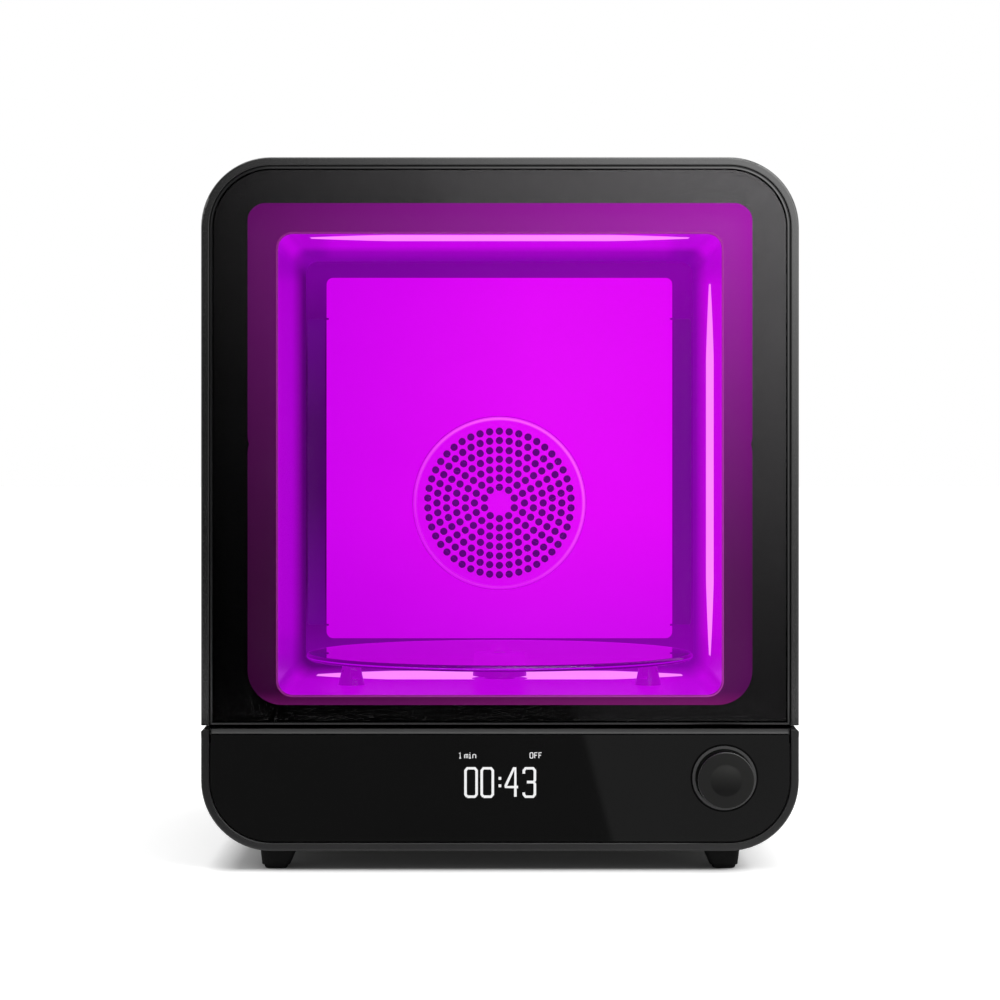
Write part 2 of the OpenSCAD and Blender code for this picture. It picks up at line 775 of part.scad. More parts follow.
module rear_cover() {
  color("#242424") difference() {
    union() {
      translate([0, rear_y + cover_y, 0]) mirror([0, 1, 0]) round_outline()
        wall_section(cover_y, rear_y, 2);
      along_y(cover_y, rear_y) outline(wall - over);
      // Walls of the recess that holds the inlet and the switch
      translate([tray_x - tray_w / 2 - tray_t, tray_y - tray_t, tray_z - tray_h / 2 - tray_t])
        cube([tray_w + 2 * tray_t, tray_d, tray_h + 2 * tray_t]);
    }
    translate([tray_x - tray_w / 2, tray_y, tray_z - tray_h / 2])
      cube([tray_w, tray_d + over, tray_h]);
    translate([inlet_x - inlet_w / 2, tray_y - tray_t - over, tray_z - inlet_h / 2])
      cube([inlet_w, tray_t + 2 * over, inlet_h]);
    translate([switch_x - rocker_w / 2 - 1.5, tray_y - tray_t - over, tray_z - rocker_h / 2 - 1.8])
      cube([rocker_w + 3, tray_t + 2 * over, rocker_h + 3.6]);
    // Guard over the cooling fan
    translate([fan_x, 0, fan_z]) along_y(cover_y - over, rear_y + over) difference() {
      for (i = [0:3]) difference() {
        circle(11.5 + 5 * i);
        circle(8.5 + 5 * i);
      }
      for (a = [45, 135]) rotate(a) square([80, 3], center = true);
    }
    // Air outlet slots
    translate([-fan_x, 0, fan_z]) along_y(cover_y - over, rear_y + over)
      for (i = [-4:4]) translate([0, 7 * i]) slot(66, 3.2);
    for (p = cover_holes) rod_y(p[0], p[1], screw_r + 0.1, cover_y - over, rear_y + over);
    for (p = cover_holes) translate([p[0], rear_y, p[1]]) rotate([90, 0, 0])
      cylinder(r1 = 3.2, r2 = screw_r, h = 1.6);
  }
}

module cover_screws() {
  color("silver") for (p = cover_holes) difference() {
    union() {
      rod_y(p[0], p[1], screw_r - 0.05, cover_y - 10, rear_y - 1.4);
      translate([p[0], rear_y - 0.05, p[1]]) rotate([90, 0, 0])
        cylinder(r1 = 3.1, r2 = screw_r - 0.1, h = 1.55);
    }
    translate([p[0], rear_y + 0.1, p[1]]) rotate([90, 0, 0]) cylinder(r = 1.3, h = 1.2, $fn = 6);
  }
}

module cooling_fan_frame() {
  y0 = cover_y - fan_d;
  r = fan_side / 2 - 1.6;
  color("#181818") translate([fan_x, 0, fan_z]) {
    difference() {
      along_y(y0, cover_y) translate([0, -fan_side / 2]) rounded(fan_side, fan_side, 4);
      rod_y(0, 0, r, y0 - over, cover_y + over);
      for (x = [-1, 1], z = [-1, 1])
        rod_y(x * (fan_side / 2 - 4), z * (fan_side / 2 - 4), 2, y0 - over, cover_y + over);
    }
    rod_y(0, 0, 14, cover_y - 2, cover_y - 0.2);
    rod_y(0, 0, 2, y0 + 2, cover_y - 1);
    for (a = [45, 135]) translate([0, cover_y - 0.2, 0]) rotate([90, 0, 0]) rotate(a)
      translate([-r - over, -1.5, 0]) cube([2 * r + 2 * over, 3, 1.8]);
  }
}

// Flat blades set at a slant round a hub, trimmed to the running radius
module cooling_fan_rotor() {
  y0 = cover_y - fan_d + 0.6;
  y1 = cover_y - 2.6;
  r = fan_side / 2 - 2.8;
  color("#101010") translate([fan_x, 0, fan_z]) difference() {
    union() {
      rod_y(0, 0, 12.5, y0, y1);
      intersection() {
        rod_y(0, 0, r, y0 + 0.4, y1 - 0.4);
        for (i = [0:6]) rotate([0, i * 360 / 7, 0]) translate([0, (y0 + y1) / 2, 0])
          rotate([0, 0, 38]) translate([-0.7, -12, 0]) cube([1.4, 24, r + 2]);
      }
    }
    rod_y(0, 0, 2 + run_gap, y0 + 1, y1 + over);
  }
}

// Front of the chamber

module chamber_mouth(grow) {
  translate([0, floor_z - grow]) rounded(ch_w + 2 * grow, ch_h + 2 * grow, ch_r + grow);
}

module front_flange() {
  color("#3c1040") difference() {
    union() {
      intersection() {
        along_y(face_y, liner_y) outline(wall + seat_gap);
        above(deck_z);
      }
      // Raised lip round the mouth
      along_y(face_y - 0.7, face_y + over) chamber_mouth(1);
    }
    along_y(face_y - over, liner_y + over) chamber_mouth(0);
    for (z = magnet_z)
      translate([magnet_x - plate_w / 2 - seat_gap, face_y - over, z - plate_h / 2 - seat_gap])
        cube([plate_w + 2 * seat_gap, over + plate_t, plate_h + 2 * seat_gap]);
  }
}

module strike_plates() {
  color("silver") for (z = magnet_z) difference() {
    translate([magnet_x - plate_w / 2, face_y, z - plate_h / 2]) cube([plate_w, plate_t, plate_h]);
    for (s = [-1, 1])
      rod_y(magnet_x, z + s * (plate_h / 2 - 4), 1.2, face_y - over, face_y + plate_t + over);
  }
}

seal_w = 3.4;
seal_in = body_w / 2 - 12.8;
module door_seal() {
  low = door_z + 1.8;
  high = top_z - 11;
  color("#0a0a0a") along_y(face_y - seal_gap + 0.3, face_y) difference() {
    translate([0, low]) rounded(2 * seal_in, high - low, 20);
    translate([0, low + seal_w])
      rounded(2 * (seal_in - seal_w), high - low - 2 * seal_w, 20 - seal_w);
  }
}

// The upper arm carries the pivot in front of the flange
module hinge_arm() {
  color("silver") difference() {
    union() {
      translate([pivot_x, pivot_y, arm_z]) cylinder(r = arm_w / 2, h = arm_t);
      translate([pivot_x - arm_w / 2, pivot_y, arm_z]) cube([arm_w, face_y - pivot_y, arm_t]);
      translate([pivot_x - 3.5, face_y - 1.6, arm_z - 9]) cube([8.1, 1.6, arm_t + 18]);
    }
    translate([pivot_x, pivot_y, arm_z - over]) cylinder(r = pin_r, h = arm_t + 2 * over);
    for (z = [arm_z - 4.5, arm_z + arm_t + 4.5]) rod_y(pivot_x + 0.5, z, 1.2, face_y - 3, face_y + 1);
  }
}

module hinge_pins() {
  color("lightgray") {
    translate([pivot_x, pivot_y, deck_z - deck_t]) cylinder(r = pin_r, h = deck_t + door_gap + 9);
    translate([pivot_x, pivot_y, deck_z - deck_t - 1.5]) cylinder(r = pin_head_r, h = 1.5);
    translate([pivot_x, pivot_y, arm_z - 9]) cylinder(r = pin_r, h = arm_t + 18);
  }
}

// Door

// The swept space of the arm inside the door, open to the rear and to the left
module arm_pocket() {
  r = arm_w / 2 + arm_slack;
  reach = r + pivot_in * tan(10) + 0.6;
  translate([pivot_x, pivot_y, arm_z - arm_slack]) {
    h = arm_t + 2 * arm_slack;
    cylinder(r = r, h = h);
    translate([-pivot_in - over, 0, 0]) cube([pivot_in + over + r, pivot_in + over, h]);
    translate([-pivot_in - over, -reach, 0]) cube([pivot_in + over, reach + over, h]);
  }
}

module door_frame() {
  color("#303030") difference() {
    intersection() {
      union() {
        round_outline() wall_section(front_y, door_y, rim_round);
        along_y(pocket_y, door_y) outline(wall - over);
      }
      above(door_z);
    }
    // Seat of the glass is open in front, and the window goes right through
    translate([0, 0, window_z - clear_low]) along_y(front_y - over, door_y + over)
      rounded(clear_w, clear_h, clear_r);
    // Recess of the inner panel
    along_y(door_y - panel_t, door_y + over) inner_panel_outline(seat_gap);
    // Rear left edge is round about the pivot
    difference() {
      translate([pivot_x - pivot_in - over, pivot_y, door_z - over])
        cube([pivot_in + over, pivot_in + over, shell_h]);
      translate([pivot_x, pivot_y, door_z - 2 * over]) cylinder(r = pivot_in, h = shell_h + over);
    }
    arm_pocket();
    for (z = knuckle_z) translate([pivot_x, pivot_y, z - 0.4])
      cylinder(r = bush_r + 0.02, h = bush_h + 0.8);
    translate([pivot_x, pivot_y, door_z - over]) cylinder(r = pin_r + 0.4, h = bush_h + 3);
    translate([pivot_x, pivot_y, arm_z - 12]) cylinder(r = pin_r + 0.4, h = arm_t + 24);
    // Finger recess behind the right edge
    translate([body_w / 2 - grip_d + 3, door_y - 8, grip_z]) linear_extrude(grip_l)
      union() {
        translate([0, 3]) square([grip_d + over, 5 + over]);
        translate([-3, 8 - grip_d / 2 + 2]) square([grip_d + over, grip_d / 2 - 2 + over]);
        translate([0, 5]) circle(3);
        square([grip_d + over, 6]);
      }
    for (z = magnet_z) at_magnet(z)
      translate([-seat_gap, 0, -seat_gap])
        cube([magnet_w + 2 * seat_gap, magnet_w + over, magnet_h + 2 * seat_gap]);
  }
}

module at_magnet(z) {
  translate([magnet_x - magnet_w / 2, door_y - panel_t - magnet_w, z - magnet_h / 2]) children();
}

// The panel is straight on the hinge side, where the knuckles need room
module inner_panel_outline(grow) {
  low = door_z + inner_low - grow;
  high = top_z - inner_top + grow;
  translate([(inner_l + inner_r) / 2, low])
    rounded(inner_r - inner_l + 2 * grow, high - low, inner_corner + grow);
}

module door_inner_panel() {
  color("#181818") difference() {
    along_y(door_y - panel_t, door_y) inner_panel_outline(0);
    translate([0, 0, window_z - clear_low]) along_y(front_y, door_y + over)
      rounded(clear_w, clear_h, clear_r);
    for (p = door_screw_spots) rod_y(p[0], p[1], screw_r, door_y - panel_t - over, door_y + over);
    for (p = door_screw_spots) translate([p[0], door_y, p[1]]) rotate([90, 0, 0])
      cylinder(r1 = 3, r2 = screw_r, h = 1.4);
  }
}

// Three screws above the window and two beside it, each in the middle of its strip
door_screw_x = (clear_w / 2 + inner_r) / 2;
door_screw_z = (window_z - clear_low + clear_h + top_z - inner_top) / 2;
door_screw_spots = [[door_screw_x, door_z + 92], [door_screw_x, door_z + 200],
  for (s = [-1:1]) [s * 0.3 * clear_w, door_screw_z]];

// Screws of the inner panel and the catch magnets behind it
module door_hardware() {
  color("silver") {
    for (p = door_screw_spots) difference() {
      translate([p[0], door_y - 0.05, p[1]]) rotate([90, 0, 0])
        cylinder(r1 = 2.9, r2 = screw_r - 0.1, h = 1.35);
      translate([p[0], door_y + 0.1, p[1]]) rotate([90, 0, 0]) cylinder(r = 1.2, h = 1, $fn = 6);
    }
    for (z = magnet_z) at_magnet(z) cube([magnet_w, magnet_w, magnet_h]);
  }
}

module door_glass() {
  color("#20102480") intersection() {
    along_y(front_y + 0.2, mask_y) outline(wall + face_gap);
    above(door_z + frame_lip);
  }
}

module glass_mask() {
  color("black") difference() {
    intersection() {
      along_y(mask_y, pocket_y) outline(wall + face_gap);
      above(door_z + frame_lip);
    }
    along_y(mask_y - over, pocket_y + over) translate([0, window_z]) {
      translate([0, window_h / 2]) rounded(window_w, window_h / 2, window_r);
      rounded(window_w, window_h / 2 + window_low_r, window_low_r);
    }
  }
}

module hinge_bushes() {
  color("ivory") for (z = knuckle_z) translate([pivot_x, pivot_y, z]) difference() {
    cylinder(r = bush_r, h = bush_h);
    translate([0, 0, -over]) cylinder(r = pin_r + run_gap, h = bush_h + 2 * over);
  }
}

// Chamber

module chamber_liner() {
  color("violet") difference() {
    along_y(liner_y, wall_y) difference() {
      chamber_mouth(liner_t);
      chamber_mouth(0);
    }
    at_top_bar() translate([0, 0, -over]) linear_extrude(liner_t + 2 * over)
      lens(top_l, top_w, seat_gap);
    at_side_bar() translate([0, 0, -over]) linear_extrude(liner_t + 2 * over)
      lens(side_l, side_w, seat_gap);
    at_floor_bar() translate([0, 0, -over]) linear_extrude(liner_t + 2 * over) difference() {
      lens(floor_l, floor_w, seat_gap);
      hub_clear(hub_r + 0.5);
    }
    translate([0, table_y, floor_z - liner_t - over]) cylinder(r = shaft_r + 2.5, h = liner_t + 2 * over);
  }
}

// The hub's round clearance in the frame of the floor bar
module hub_clear(r) { translate([0, -floor_back]) circle(r); }

// A lens that fills its slot, with a flange and a rim behind the liner
bar_edge = 4;
bar_rise = 3;
module light_bar(l, w) {
  linear_extrude(liner_t + 0.01) lens(l, w, 0);
  difference() {
    translate([-l / 2 - bar_edge, -w / 2 - bar_edge, liner_t])
      cube([l + 2 * bar_edge, w + 2 * bar_edge, 1.2 + bar_rise]);
    translate([-l / 2 - bar_edge + 2, -w / 2 - bar_edge + 2, liner_t + 1.2])
      cube([l + 2 * bar_edge - 4, w + 2 * bar_edge - 4, bar_rise + over]);
  }
}

// A board with its light sources inward and its cooling fins outward
board_z = liner_t + 1.2 + bar_rise;
module led_board(l, w, rows, gap) {
  translate([-l / 2 - bar_edge, -w / 2 - bar_edge, board_z])
    cube([l + 2 * bar_edge, w + 2 * bar_edge, board_t]);
  n = 10;
  for (i = [0:n - 1], j = [0:rows - 1])
    if (abs(i - (n - 1) / 2) > gap)
      translate([(i - (n - 1) / 2) * (l - 8) / n - 1.75, (j - (rows - 1) / 2) * 14 - 1.75,
        board_z - 1.2]) cube([3.5, 3.5, 1.3]);
  for (j = [0:2 * rows]) translate([-l / 2, (j / rows - 1) * w / 2 * 0.9 - 0.6, board_z + board_t - 0.1])
    cube([l, 1.2, fin_h]);
}

module light_bar_top() { color("pink") at_top_bar() light_bar(top_l, top_w); }
module light_bar_right() { color("pink") at_side_bar() light_bar(side_l, side_w); }
module light_bar_floor() {
  color("pink") at_floor_bar() difference() {
    light_bar(floor_l, floor_w);
    translate([0, 0, -over]) linear_extrude(30) hub_clear(shaft_r + 5.5);
    translate([0, 0, -over]) linear_extrude(liner_t + over) hub_clear(hub_r + 0.7);
  }
}
module led_board_top() { color("seagreen") at_top_bar() led_board(top_l, top_w, 2, 0); }
module led_board_right() { color("seagreen") at_side_bar() led_board(side_l, side_w, 3, 0); }
module led_board_floor() {
  color("seagreen") at_floor_bar() difference() {
    led_board(floor_l, floor_w, 3, 1);
    translate([0, 0, -over]) linear_extrude(30) hub_clear(shaft_r + 5.5);
  }
}

back_w = ch_w + 14;
back_h = ch_lift + ch_h + 8;
light_w = panel_w - 14;
light_h = panel_h - 14;
module chamber_back() {
  color("purple") along_y(wall_y, plenum_y) difference() {
    translate([-back_w / 2, deck_z]) square([back_w, back_h]);
    // Opening behind the bright panel, crossed by struts that hold the grille's collar
    difference() {
      translate([0, floor_z + panel_low + 7]) rounded(light_w, light_h, 4);
      translate([0, grille_z]) circle(grille_r + 5);
      translate([-light_w, grille_z - 4]) square([2 * light_w, 8]);
      translate([-4, floor_z]) square([8, ch_h]);
    }
    translate([0, grille_z]) circle(grille_r - 4);
    for (x = [-1, 1]) translate([x * outlet_x, floor_z + outlet_low])
      rounded(outlet_w, outlet_h, 1.5);
  }
}
outlet_x = (panel_w / 2 + ch_w / 2) / 2;

module back_light_panel() {
  tab = 1.2;
  color("magenta") along_y(wall_y - diffuser_t, wall_y) difference() {
    translate([0, floor_z + panel_low]) rounded(panel_w, panel_h, panel_r);
    translate([0, grille_z]) circle(grille_r + seat_gap);
    // Notches for the clips at the corners of the air outlets
    for (x = [-1, 1], z = [outlet_low, outlet_low + outlet_h])
      translate([x * panel_w / 2 - tab, floor_z + z - tab / 2]) square([2 * tab, tab]);
  }
}

// Each ring of holes has six more than the one inside it
function ring_holes(i) = 10 + 6 * i;
module fan_grille() {
  color("orchid") translate([0, wall_y, grille_z]) rotate([90, 0, 0]) {
    linear_extrude(grille_t) difference() {
      circle(grille_r);
      for (i = [0:hole_rings - 1], j = [0:ring_holes(i) - 1])
        rotate(90 + j * 360 / ring_holes(i)) translate([first_ring + i * ring_pitch, 0]) circle(hole_r);
    }
    rotate_extrude() translate([grille_r - 1.3, grille_t]) circle(1);
  }
}

// Air behind the chamber

module fan_housing() {
  r = grille_r + 3;
  color("gray") difference() {
    rod_y(0, grille_z, r + 1.5, plenum_y, duct_y);
    rod_y(0, grille_z, r, plenum_y - over, duct_y + over);
    for (s = [0, 1]) mirror([s, 0, 0])
      translate([r - 16, plenum_y + 3, grille_z - 22]) cube([30, plenum_d - 6, 44]);
  }
}

wheel_y = plenum_y + 3;
module fan_impeller() {
  n = 28;
  w = 10;
  color("silver") translate([0, wheel_y + w, grille_z]) rotate([90, 0, 0]) {
    cylinder(r = wheel_r, h = 1.2);
    cylinder(r = 9, h = w - 2);
    difference() {
      cylinder(r = wheel_r, h = w);
      translate([0, 0, -over]) cylinder(r = wheel_r - 1.2, h = w + 2 * over);
      translate([0, 0, 1]) cylinder(r = wheel_r + over, h = w - 2.4);
    }
    for (i = [0:n - 1]) rotate(i * 360 / n) translate([wheel_r - 14, 0, 0.5]) rotate(28)
      translate([0, -0.4, 0]) cube([14.6, 0.8, w - 0.8]);
    translate([0, 0, -20]) cylinder(r = 2, h = 21);
  }
}

module fan_motor() {
  y0 = duct_y + back_t;
  color("dimgray") difference() {
    union() {
      rod_y(0, grille_z, 17, y0, y0 + 14);
      along_y(y0, y0 + 1.6) translate([0, grille_z - 6]) rounded(56, 12, 5.9);
      rod_y(0, grille_z, 6, y0 + 13, y0 + 17);
    }
    rod_y(0, grille_z, 2 + run_gap, y0 - over, y0 + 14);
    for (x = [-23, 23]) rod_y(x, grille_z, 1.6, y0 - over, y0 + 3);
  }
}

module heater_ring() {
  r = grille_r - 0.6;
  color("orangered") translate([0, plenum_y + 8, grille_z]) rotate([90, 0, 0]) {
    rotate_extrude() translate([r, 0]) circle(1.6);
    for (a = [45:90:315]) rotate(a) translate([r - 1, -2, -1.2]) cube([4.45, 4, 2.4]);
  }
}

module temperature_probe() {
  color("gold") rod_y(35 - ch_w / 2, ceil_z - 30, 2.4, plenum_y + 5, duct_y);
}

module plenum_cover() {
  color("lightgray") difference() {
    translate([-back_w / 2 + 2, plenum_y, deck_z]) cube([back_w - 4, plenum_d + back_t, back_h - 2]);
    translate([-back_w / 2 + 3.2, plenum_y - over, deck_z + 1.2])
      cube([back_w - 6.4, plenum_d + over, back_h - 4.4]);
    rod_y(0, grille_z, 4, duct_y - over, duct_y + back_t + over);
  }
}

module insulation_wrap() {
  gap = 0.2;
  color("khaki") difference() {
    along_y(liner_y, wall_y) difference() {
      intersection() {
        chamber_mouth(liner_t + gap + wrap_t);
        translate([-body_w, floor_z + ch_r]) square([2 * body_w, ch_h + 60]);
      }
      chamber_mouth(liner_t + gap);
    }
    at_top_bar() translate([-top_l / 2 - bar_edge - 1, -top_w / 2 - bar_edge - 1, 0])
      cube([top_l + 2 * bar_edge + 2, top_w + 2 * bar_edge + 2, 40]);
    at_side_bar() translate([-side_l / 2 - bar_edge - 1, -side_w / 2 - bar_edge - 1, 0])
      cube([side_l + 2 * bar_edge + 2, side_w + 2 * bar_edge + 2, 40]);
  }
}

// Board behind the bright panel, cut out round the fan housing
module led_board_back() {
  pitch = 21;
  color("seagreen") {
    along_y(plenum_y, plenum_y + board_t) difference() {
      translate([0, floor_z + panel_low + 3]) rounded(light_w + 8, light_h + 8, 4);
      translate([0, grille_z]) circle(grille_r + 6);
    }
    for (i = [-3.5:3.5], k = [-3.5:3.5]) {
      x = i * pitch;
      z = floor_z + panel_low + panel_h / 2 + k * pitch;
      if (norm([x, z - grille_z]) > grille_r + 9)
        translate([x - 1.75, plenum_y - 1, z - 1.75]) cube([3.5, 1 + board_t / 2, 3.5]);
    }
  }
}

// Turntable

module turntable_motor() {
  color("silver") difference() {
    union() {
      translate([0, table_y, motor_z]) cylinder(r = motor_r, h = motor_h);
      translate([0, table_y, deck_z - deck_t - 1.5]) linear_extrude(1.5) slot(2 * motor_r + 22, 12);
      translate([0, table_y, deck_z - deck_t - over]) cylinder(r = 7.8, h = over + deck_t);
    }
    translate([0, table_y, motor_z + 3]) cylinder(r = shaft_r + run_gap, h = motor_h + deck_t);
    for (x = [-1, 1]) translate([x * (motor_r + 5), table_y, motor_z + over])
      cylinder(r = 2, h = motor_h);
  }
}

module drive_shaft() {
  z0 = motor_z + 4;
  color("silver") translate([0, table_y, z0]) cylinder(r = shaft_r, h = shaft_top - z0);
}

module floor_bush() {
  color("ivory") translate([0, table_y, floor_z]) difference() {
    union() {
      translate([0, 0, -liner_t - 2]) cylinder(r = shaft_r + 2.45, h = liner_t + 2 + bush_lip);
      cylinder(r = shaft_r + 4.5, h = bush_lip);
    }
    translate([0, 0, -liner_t - 2 - over]) cylinder(r = shaft_r + run_gap, h = 10);
  }
}

module turntable_hub() {
  h = glass_z - hub_z;
  color("plum") translate([0, table_y, hub_z]) difference() {
    cylinder(r1 = hub_r, r2 = hub_r - 0.8, h = h);
    translate([0, 0, -over]) cylinder(r = shaft_r, h = h + 2 * over);
    // Hollow under the hub, with webs
    difference() {
      translate([0, 0, -over]) cylinder(r = hub_r - 2.6, h = h - 1.6);
      cylinder(r = shaft_r + 2, h = h);
      for (a = [0, 60, 120]) rotate(a) translate([-hub_r, -0.8, 0]) cube([2 * hub_r, 1.6, h]);
    }
  }
}

// A disc with a round rim
module turntable_glass() {
  r = table_t / 2;
  color("#d080e060") translate([0, table_y, glass_z]) rotate_extrude() {
    square([table_r - r, table_t]);
    intersection() {
      translate([table_r - r, r]) circle(r);
      translate([table_r - r - over, 0]) square([r + over, table_t]);
    }
  }
}

post_h = roller_z + 2.2 - floor_z;
module roller_posts() {
  slot_w = roller_w + 0.4;
  color("orchid") for (i = [0:2]) at_roller(i) difference() {
    translate([0, 0, floor_z]) cylinder(r1 = post_r, r2 = post_top_r, h = post_h);
    translate([-slot_w / 2, -post_r - over, roller_z - roller_r - 0.5])
      cube([slot_w, 2 * post_r + 2 * over, 2 * roller_r + 4]);
    translate([-post_r - over, 0, roller_z]) rotate([0, 90, 0])
      cylinder(r = axle_r, h = 2 * post_r + 2 * over);
  }
}

module roller_pins() {
  l = 2 * post_top_r;
  color("silver") for (i = [0:2]) at_roller(i) translate([-l / 2, 0, roller_z])
    rotate([0, 90, 0]) cylinder(r = axle_r, h = l);
}

module roller(i) {
  at_roller(i) translate([-roller_w / 2, 0, roller_z]) rotate([0, 90, 0]) difference() {
    cylinder(r = roller_r, h = roller_w);
    translate([0, 0, -over]) cylinder(r = axle_r + run_gap, h = roller_w + 2 * over);
  }
}
module roller_left() { color("white") roller(0); }
module roller_right() { color("white") roller(1); }
module roller_rear() { color("white") roller(2); }

base_housing();
fascia_panel();
display_module();
control_board();
encoder_body();
encoder_plunger();
encoder_shaft();
knob();
knob_bezel();
deck_plate();
power_supply();
power_inlet();
inlet_pins();
switch_frame();
power_rocker();
feet();
upper_shell();
rear_cover();
cover_screws();
cooling_fan_frame();
cooling_fan_rotor();
front_flange();
door_seal();
strike_plates();
hinge_arm();
hinge_pins();
chamber_liner();
chamber_back();
back_light_panel();
fan_grille();
fan_housing();
fan_impeller();
fan_motor();
heater_ring();
temperature_probe();
plenum_cover();
insulation_wrap();
led_board_back();
led_board_top();
led_board_right();
led_board_floor();
light_bar_top();
light_bar_right();
light_bar_floor();
turntable_motor();
floor_bush();
roller_posts();
roller_pins();
roller_left();
roller_right();
roller_rear();
drive_shaft();
turntable_hub();
turntable_glass();
door_frame();
door_glass();
glass_mask();
door_inner_panel();
door_hardware();
hinge_bushes();
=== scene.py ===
# %% [markdown]
# # A light curing unit in its studio
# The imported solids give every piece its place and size. This lesson dresses them: it makes the finishes,
# adds the fine pieces that a maker would add last, and lights the unit as for a catalogue picture.
# Lengths are in metres, the front faces -Y and +Z is up.

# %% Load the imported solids
import math

import bmesh
import bpy
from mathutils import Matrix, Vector


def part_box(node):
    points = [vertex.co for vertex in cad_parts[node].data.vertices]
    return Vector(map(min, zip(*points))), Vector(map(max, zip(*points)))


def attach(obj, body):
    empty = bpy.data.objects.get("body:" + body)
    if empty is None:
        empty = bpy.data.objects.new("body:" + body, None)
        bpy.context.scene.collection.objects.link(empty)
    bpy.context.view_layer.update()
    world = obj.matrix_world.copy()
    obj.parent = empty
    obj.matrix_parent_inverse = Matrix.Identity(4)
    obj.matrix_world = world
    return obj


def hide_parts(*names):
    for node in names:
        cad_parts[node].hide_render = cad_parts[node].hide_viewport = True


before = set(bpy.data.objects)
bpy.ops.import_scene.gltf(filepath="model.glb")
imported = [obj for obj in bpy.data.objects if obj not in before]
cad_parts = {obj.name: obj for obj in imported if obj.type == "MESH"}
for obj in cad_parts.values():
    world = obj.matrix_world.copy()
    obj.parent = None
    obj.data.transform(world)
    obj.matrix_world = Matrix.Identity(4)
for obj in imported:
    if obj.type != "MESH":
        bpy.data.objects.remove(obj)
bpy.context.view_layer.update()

MM = 0.001

# %% [markdown]
# ## Camera
# The picture was taken from straight ahead, with the lens level with the middle of the chamber. A long
# lens keeps the cabinet's sides out of sight. The small shift places the vanishing point.

# %% Camera
def new_object(name, data):
    """A new object in the scene."""
    made = bpy.data.objects.new(name, data)
    bpy.context.scene.collection.objects.link(made)
    return made


lens_data = bpy.data.cameras.new("studio_camera")
lens_data.lens = 108
lens_data.sensor_width = 36
lens_data.shift_x = 0.004
lens_data.shift_y = -0.05
camera = new_object("studio_camera", lens_data)
camera.location = (-0.00185, -1.527, 0.19515)
camera.rotation_euler = (math.radians(90), 0, 0)
bpy.context.scene.camera = camera
bpy.context.scene.view_settings.view_transform = "Standard"
print("camera at", tuple(camera.location))

# %% [markdown]
# ## Helpers for nodes and materials
# Every finish starts as one Principled shader that reads Object coordinates, so its pattern stays on
# the piece. A helper adds a node and links its inputs, which keeps each recipe short enough to read.

# %% Node helpers
def add_node(tree, kind, inputs=None, **settings):
    """Adds a node, sets its settings and fills its inputs with values or links."""
    node = tree.nodes.new(kind)
    for key, value in settings.items():
        setattr(node, key, value)
    for key, value in (inputs or {}).items():
        if isinstance(value, bpy.types.NodeSocket):
            tree.links.new(value, node.inputs[key])
        else:
            node.inputs[key].default_value = value
    return node


def new_finish(name):
    """A new material, its tree and its Principled shader."""
    material = bpy.data.materials.new(name)
    material.use_nodes = True
    return material, material.node_tree, material.node_tree.nodes["Principled BSDF"]


def on_object(tree):
    """The Object coordinates of the piece."""
    return add_node(tree, "ShaderNodeTexCoord").outputs["Object"]


def cloudy(tree, scale, detail=3.0, stretch=None):
    """A soft random pattern on the piece, from 0 to 1."""
    where = on_object(tree)
    if stretch:
        where = add_node(tree, "ShaderNodeMapping", {"Vector": where, "Scale": stretch}).outputs[0]
    noise = add_node(tree, "ShaderNodeTexNoise", {"Vector": where, "Scale": scale, "Detail": detail})
    return noise.outputs["Fac"]


def spread(tree, fac, low, high, start=0.3, end=0.7):
    """Maps a pattern to a range of values."""
    node = add_node(tree, "ShaderNodeMapRange", {"Value": fac, "From Min": start, "From Max": end,
        "To Min": low, "To Max": high})
    return node.outputs["Result"]


def blend_colours(tree, fac, first, second):
    """A colour between two, by a pattern."""
    mix = add_node(tree, "ShaderNodeMix", data_type="RGBA")
    for key, value in ((0, fac), (6, first), (7, second)):
        if isinstance(value, bpy.types.NodeSocket):
            tree.links.new(value, mix.inputs[key])
        else:
            mix.inputs[key].default_value = (*value, 1) if key else value
    return mix.outputs[2]


def paint(tree, shader, pattern, dark, light):
    """Gives the shader a body colour that wanders between two."""
    tree.links.new(blend_colours(tree, spread(tree, pattern, 0, 1), dark, light),
        shader.inputs["Base Color"])


def raise_surface(tree, shader, fac, depth, strength=1.0):
    """Presses a pattern into the surface, with its depth in metres."""
    bump = add_node(tree, "ShaderNodeBump", {"Height": fac, "Distance": depth, "Strength": strength})
    tree.links.new(bump.outputs[0], shader.inputs["Normal"])


def place_along(tree, axis):
    """The piece's own X, Y or Z, in metres."""
    return add_node(tree, "ShaderNodeSeparateXYZ", {"Vector": on_object(tree)}).outputs[axis]


def ramp(tree, axis, start, end, low=0, high=1):
    """A value that changes from low to high between two places along an axis."""
    return spread(tree, place_along(tree, axis), low, high, start, end)


def arithmetic(tree, operation, *values):
    """One sum, product or the like of values or links."""
    node = add_node(tree, "ShaderNodeMath", operation=operation)
    for i, value in enumerate(values):
        if isinstance(value, bpy.types.NodeSocket):
            tree.links.new(value, node.inputs[i])
        else:
            node.inputs[i].default_value = value
    return node.outputs[0]


def times(tree, *values):
    """A product of two values or links."""
    return arithmetic(tree, "MULTIPLY", *values)


def plus(tree, *values):
    """A sum of two values or links."""
    return arithmetic(tree, "ADD", *values)


def radius_from(tree, middle):
    """Distance from an axis, given by its place such as {"X": 0, "Z": 0.1}, in metres."""
    squares = []
    for axis, place in middle.items():
        off = arithmetic(tree, "SUBTRACT", place_along(tree, axis), place)
        squares.append(times(tree, off, off))
    return arithmetic(tree, "SQRT", plus(tree, *squares))


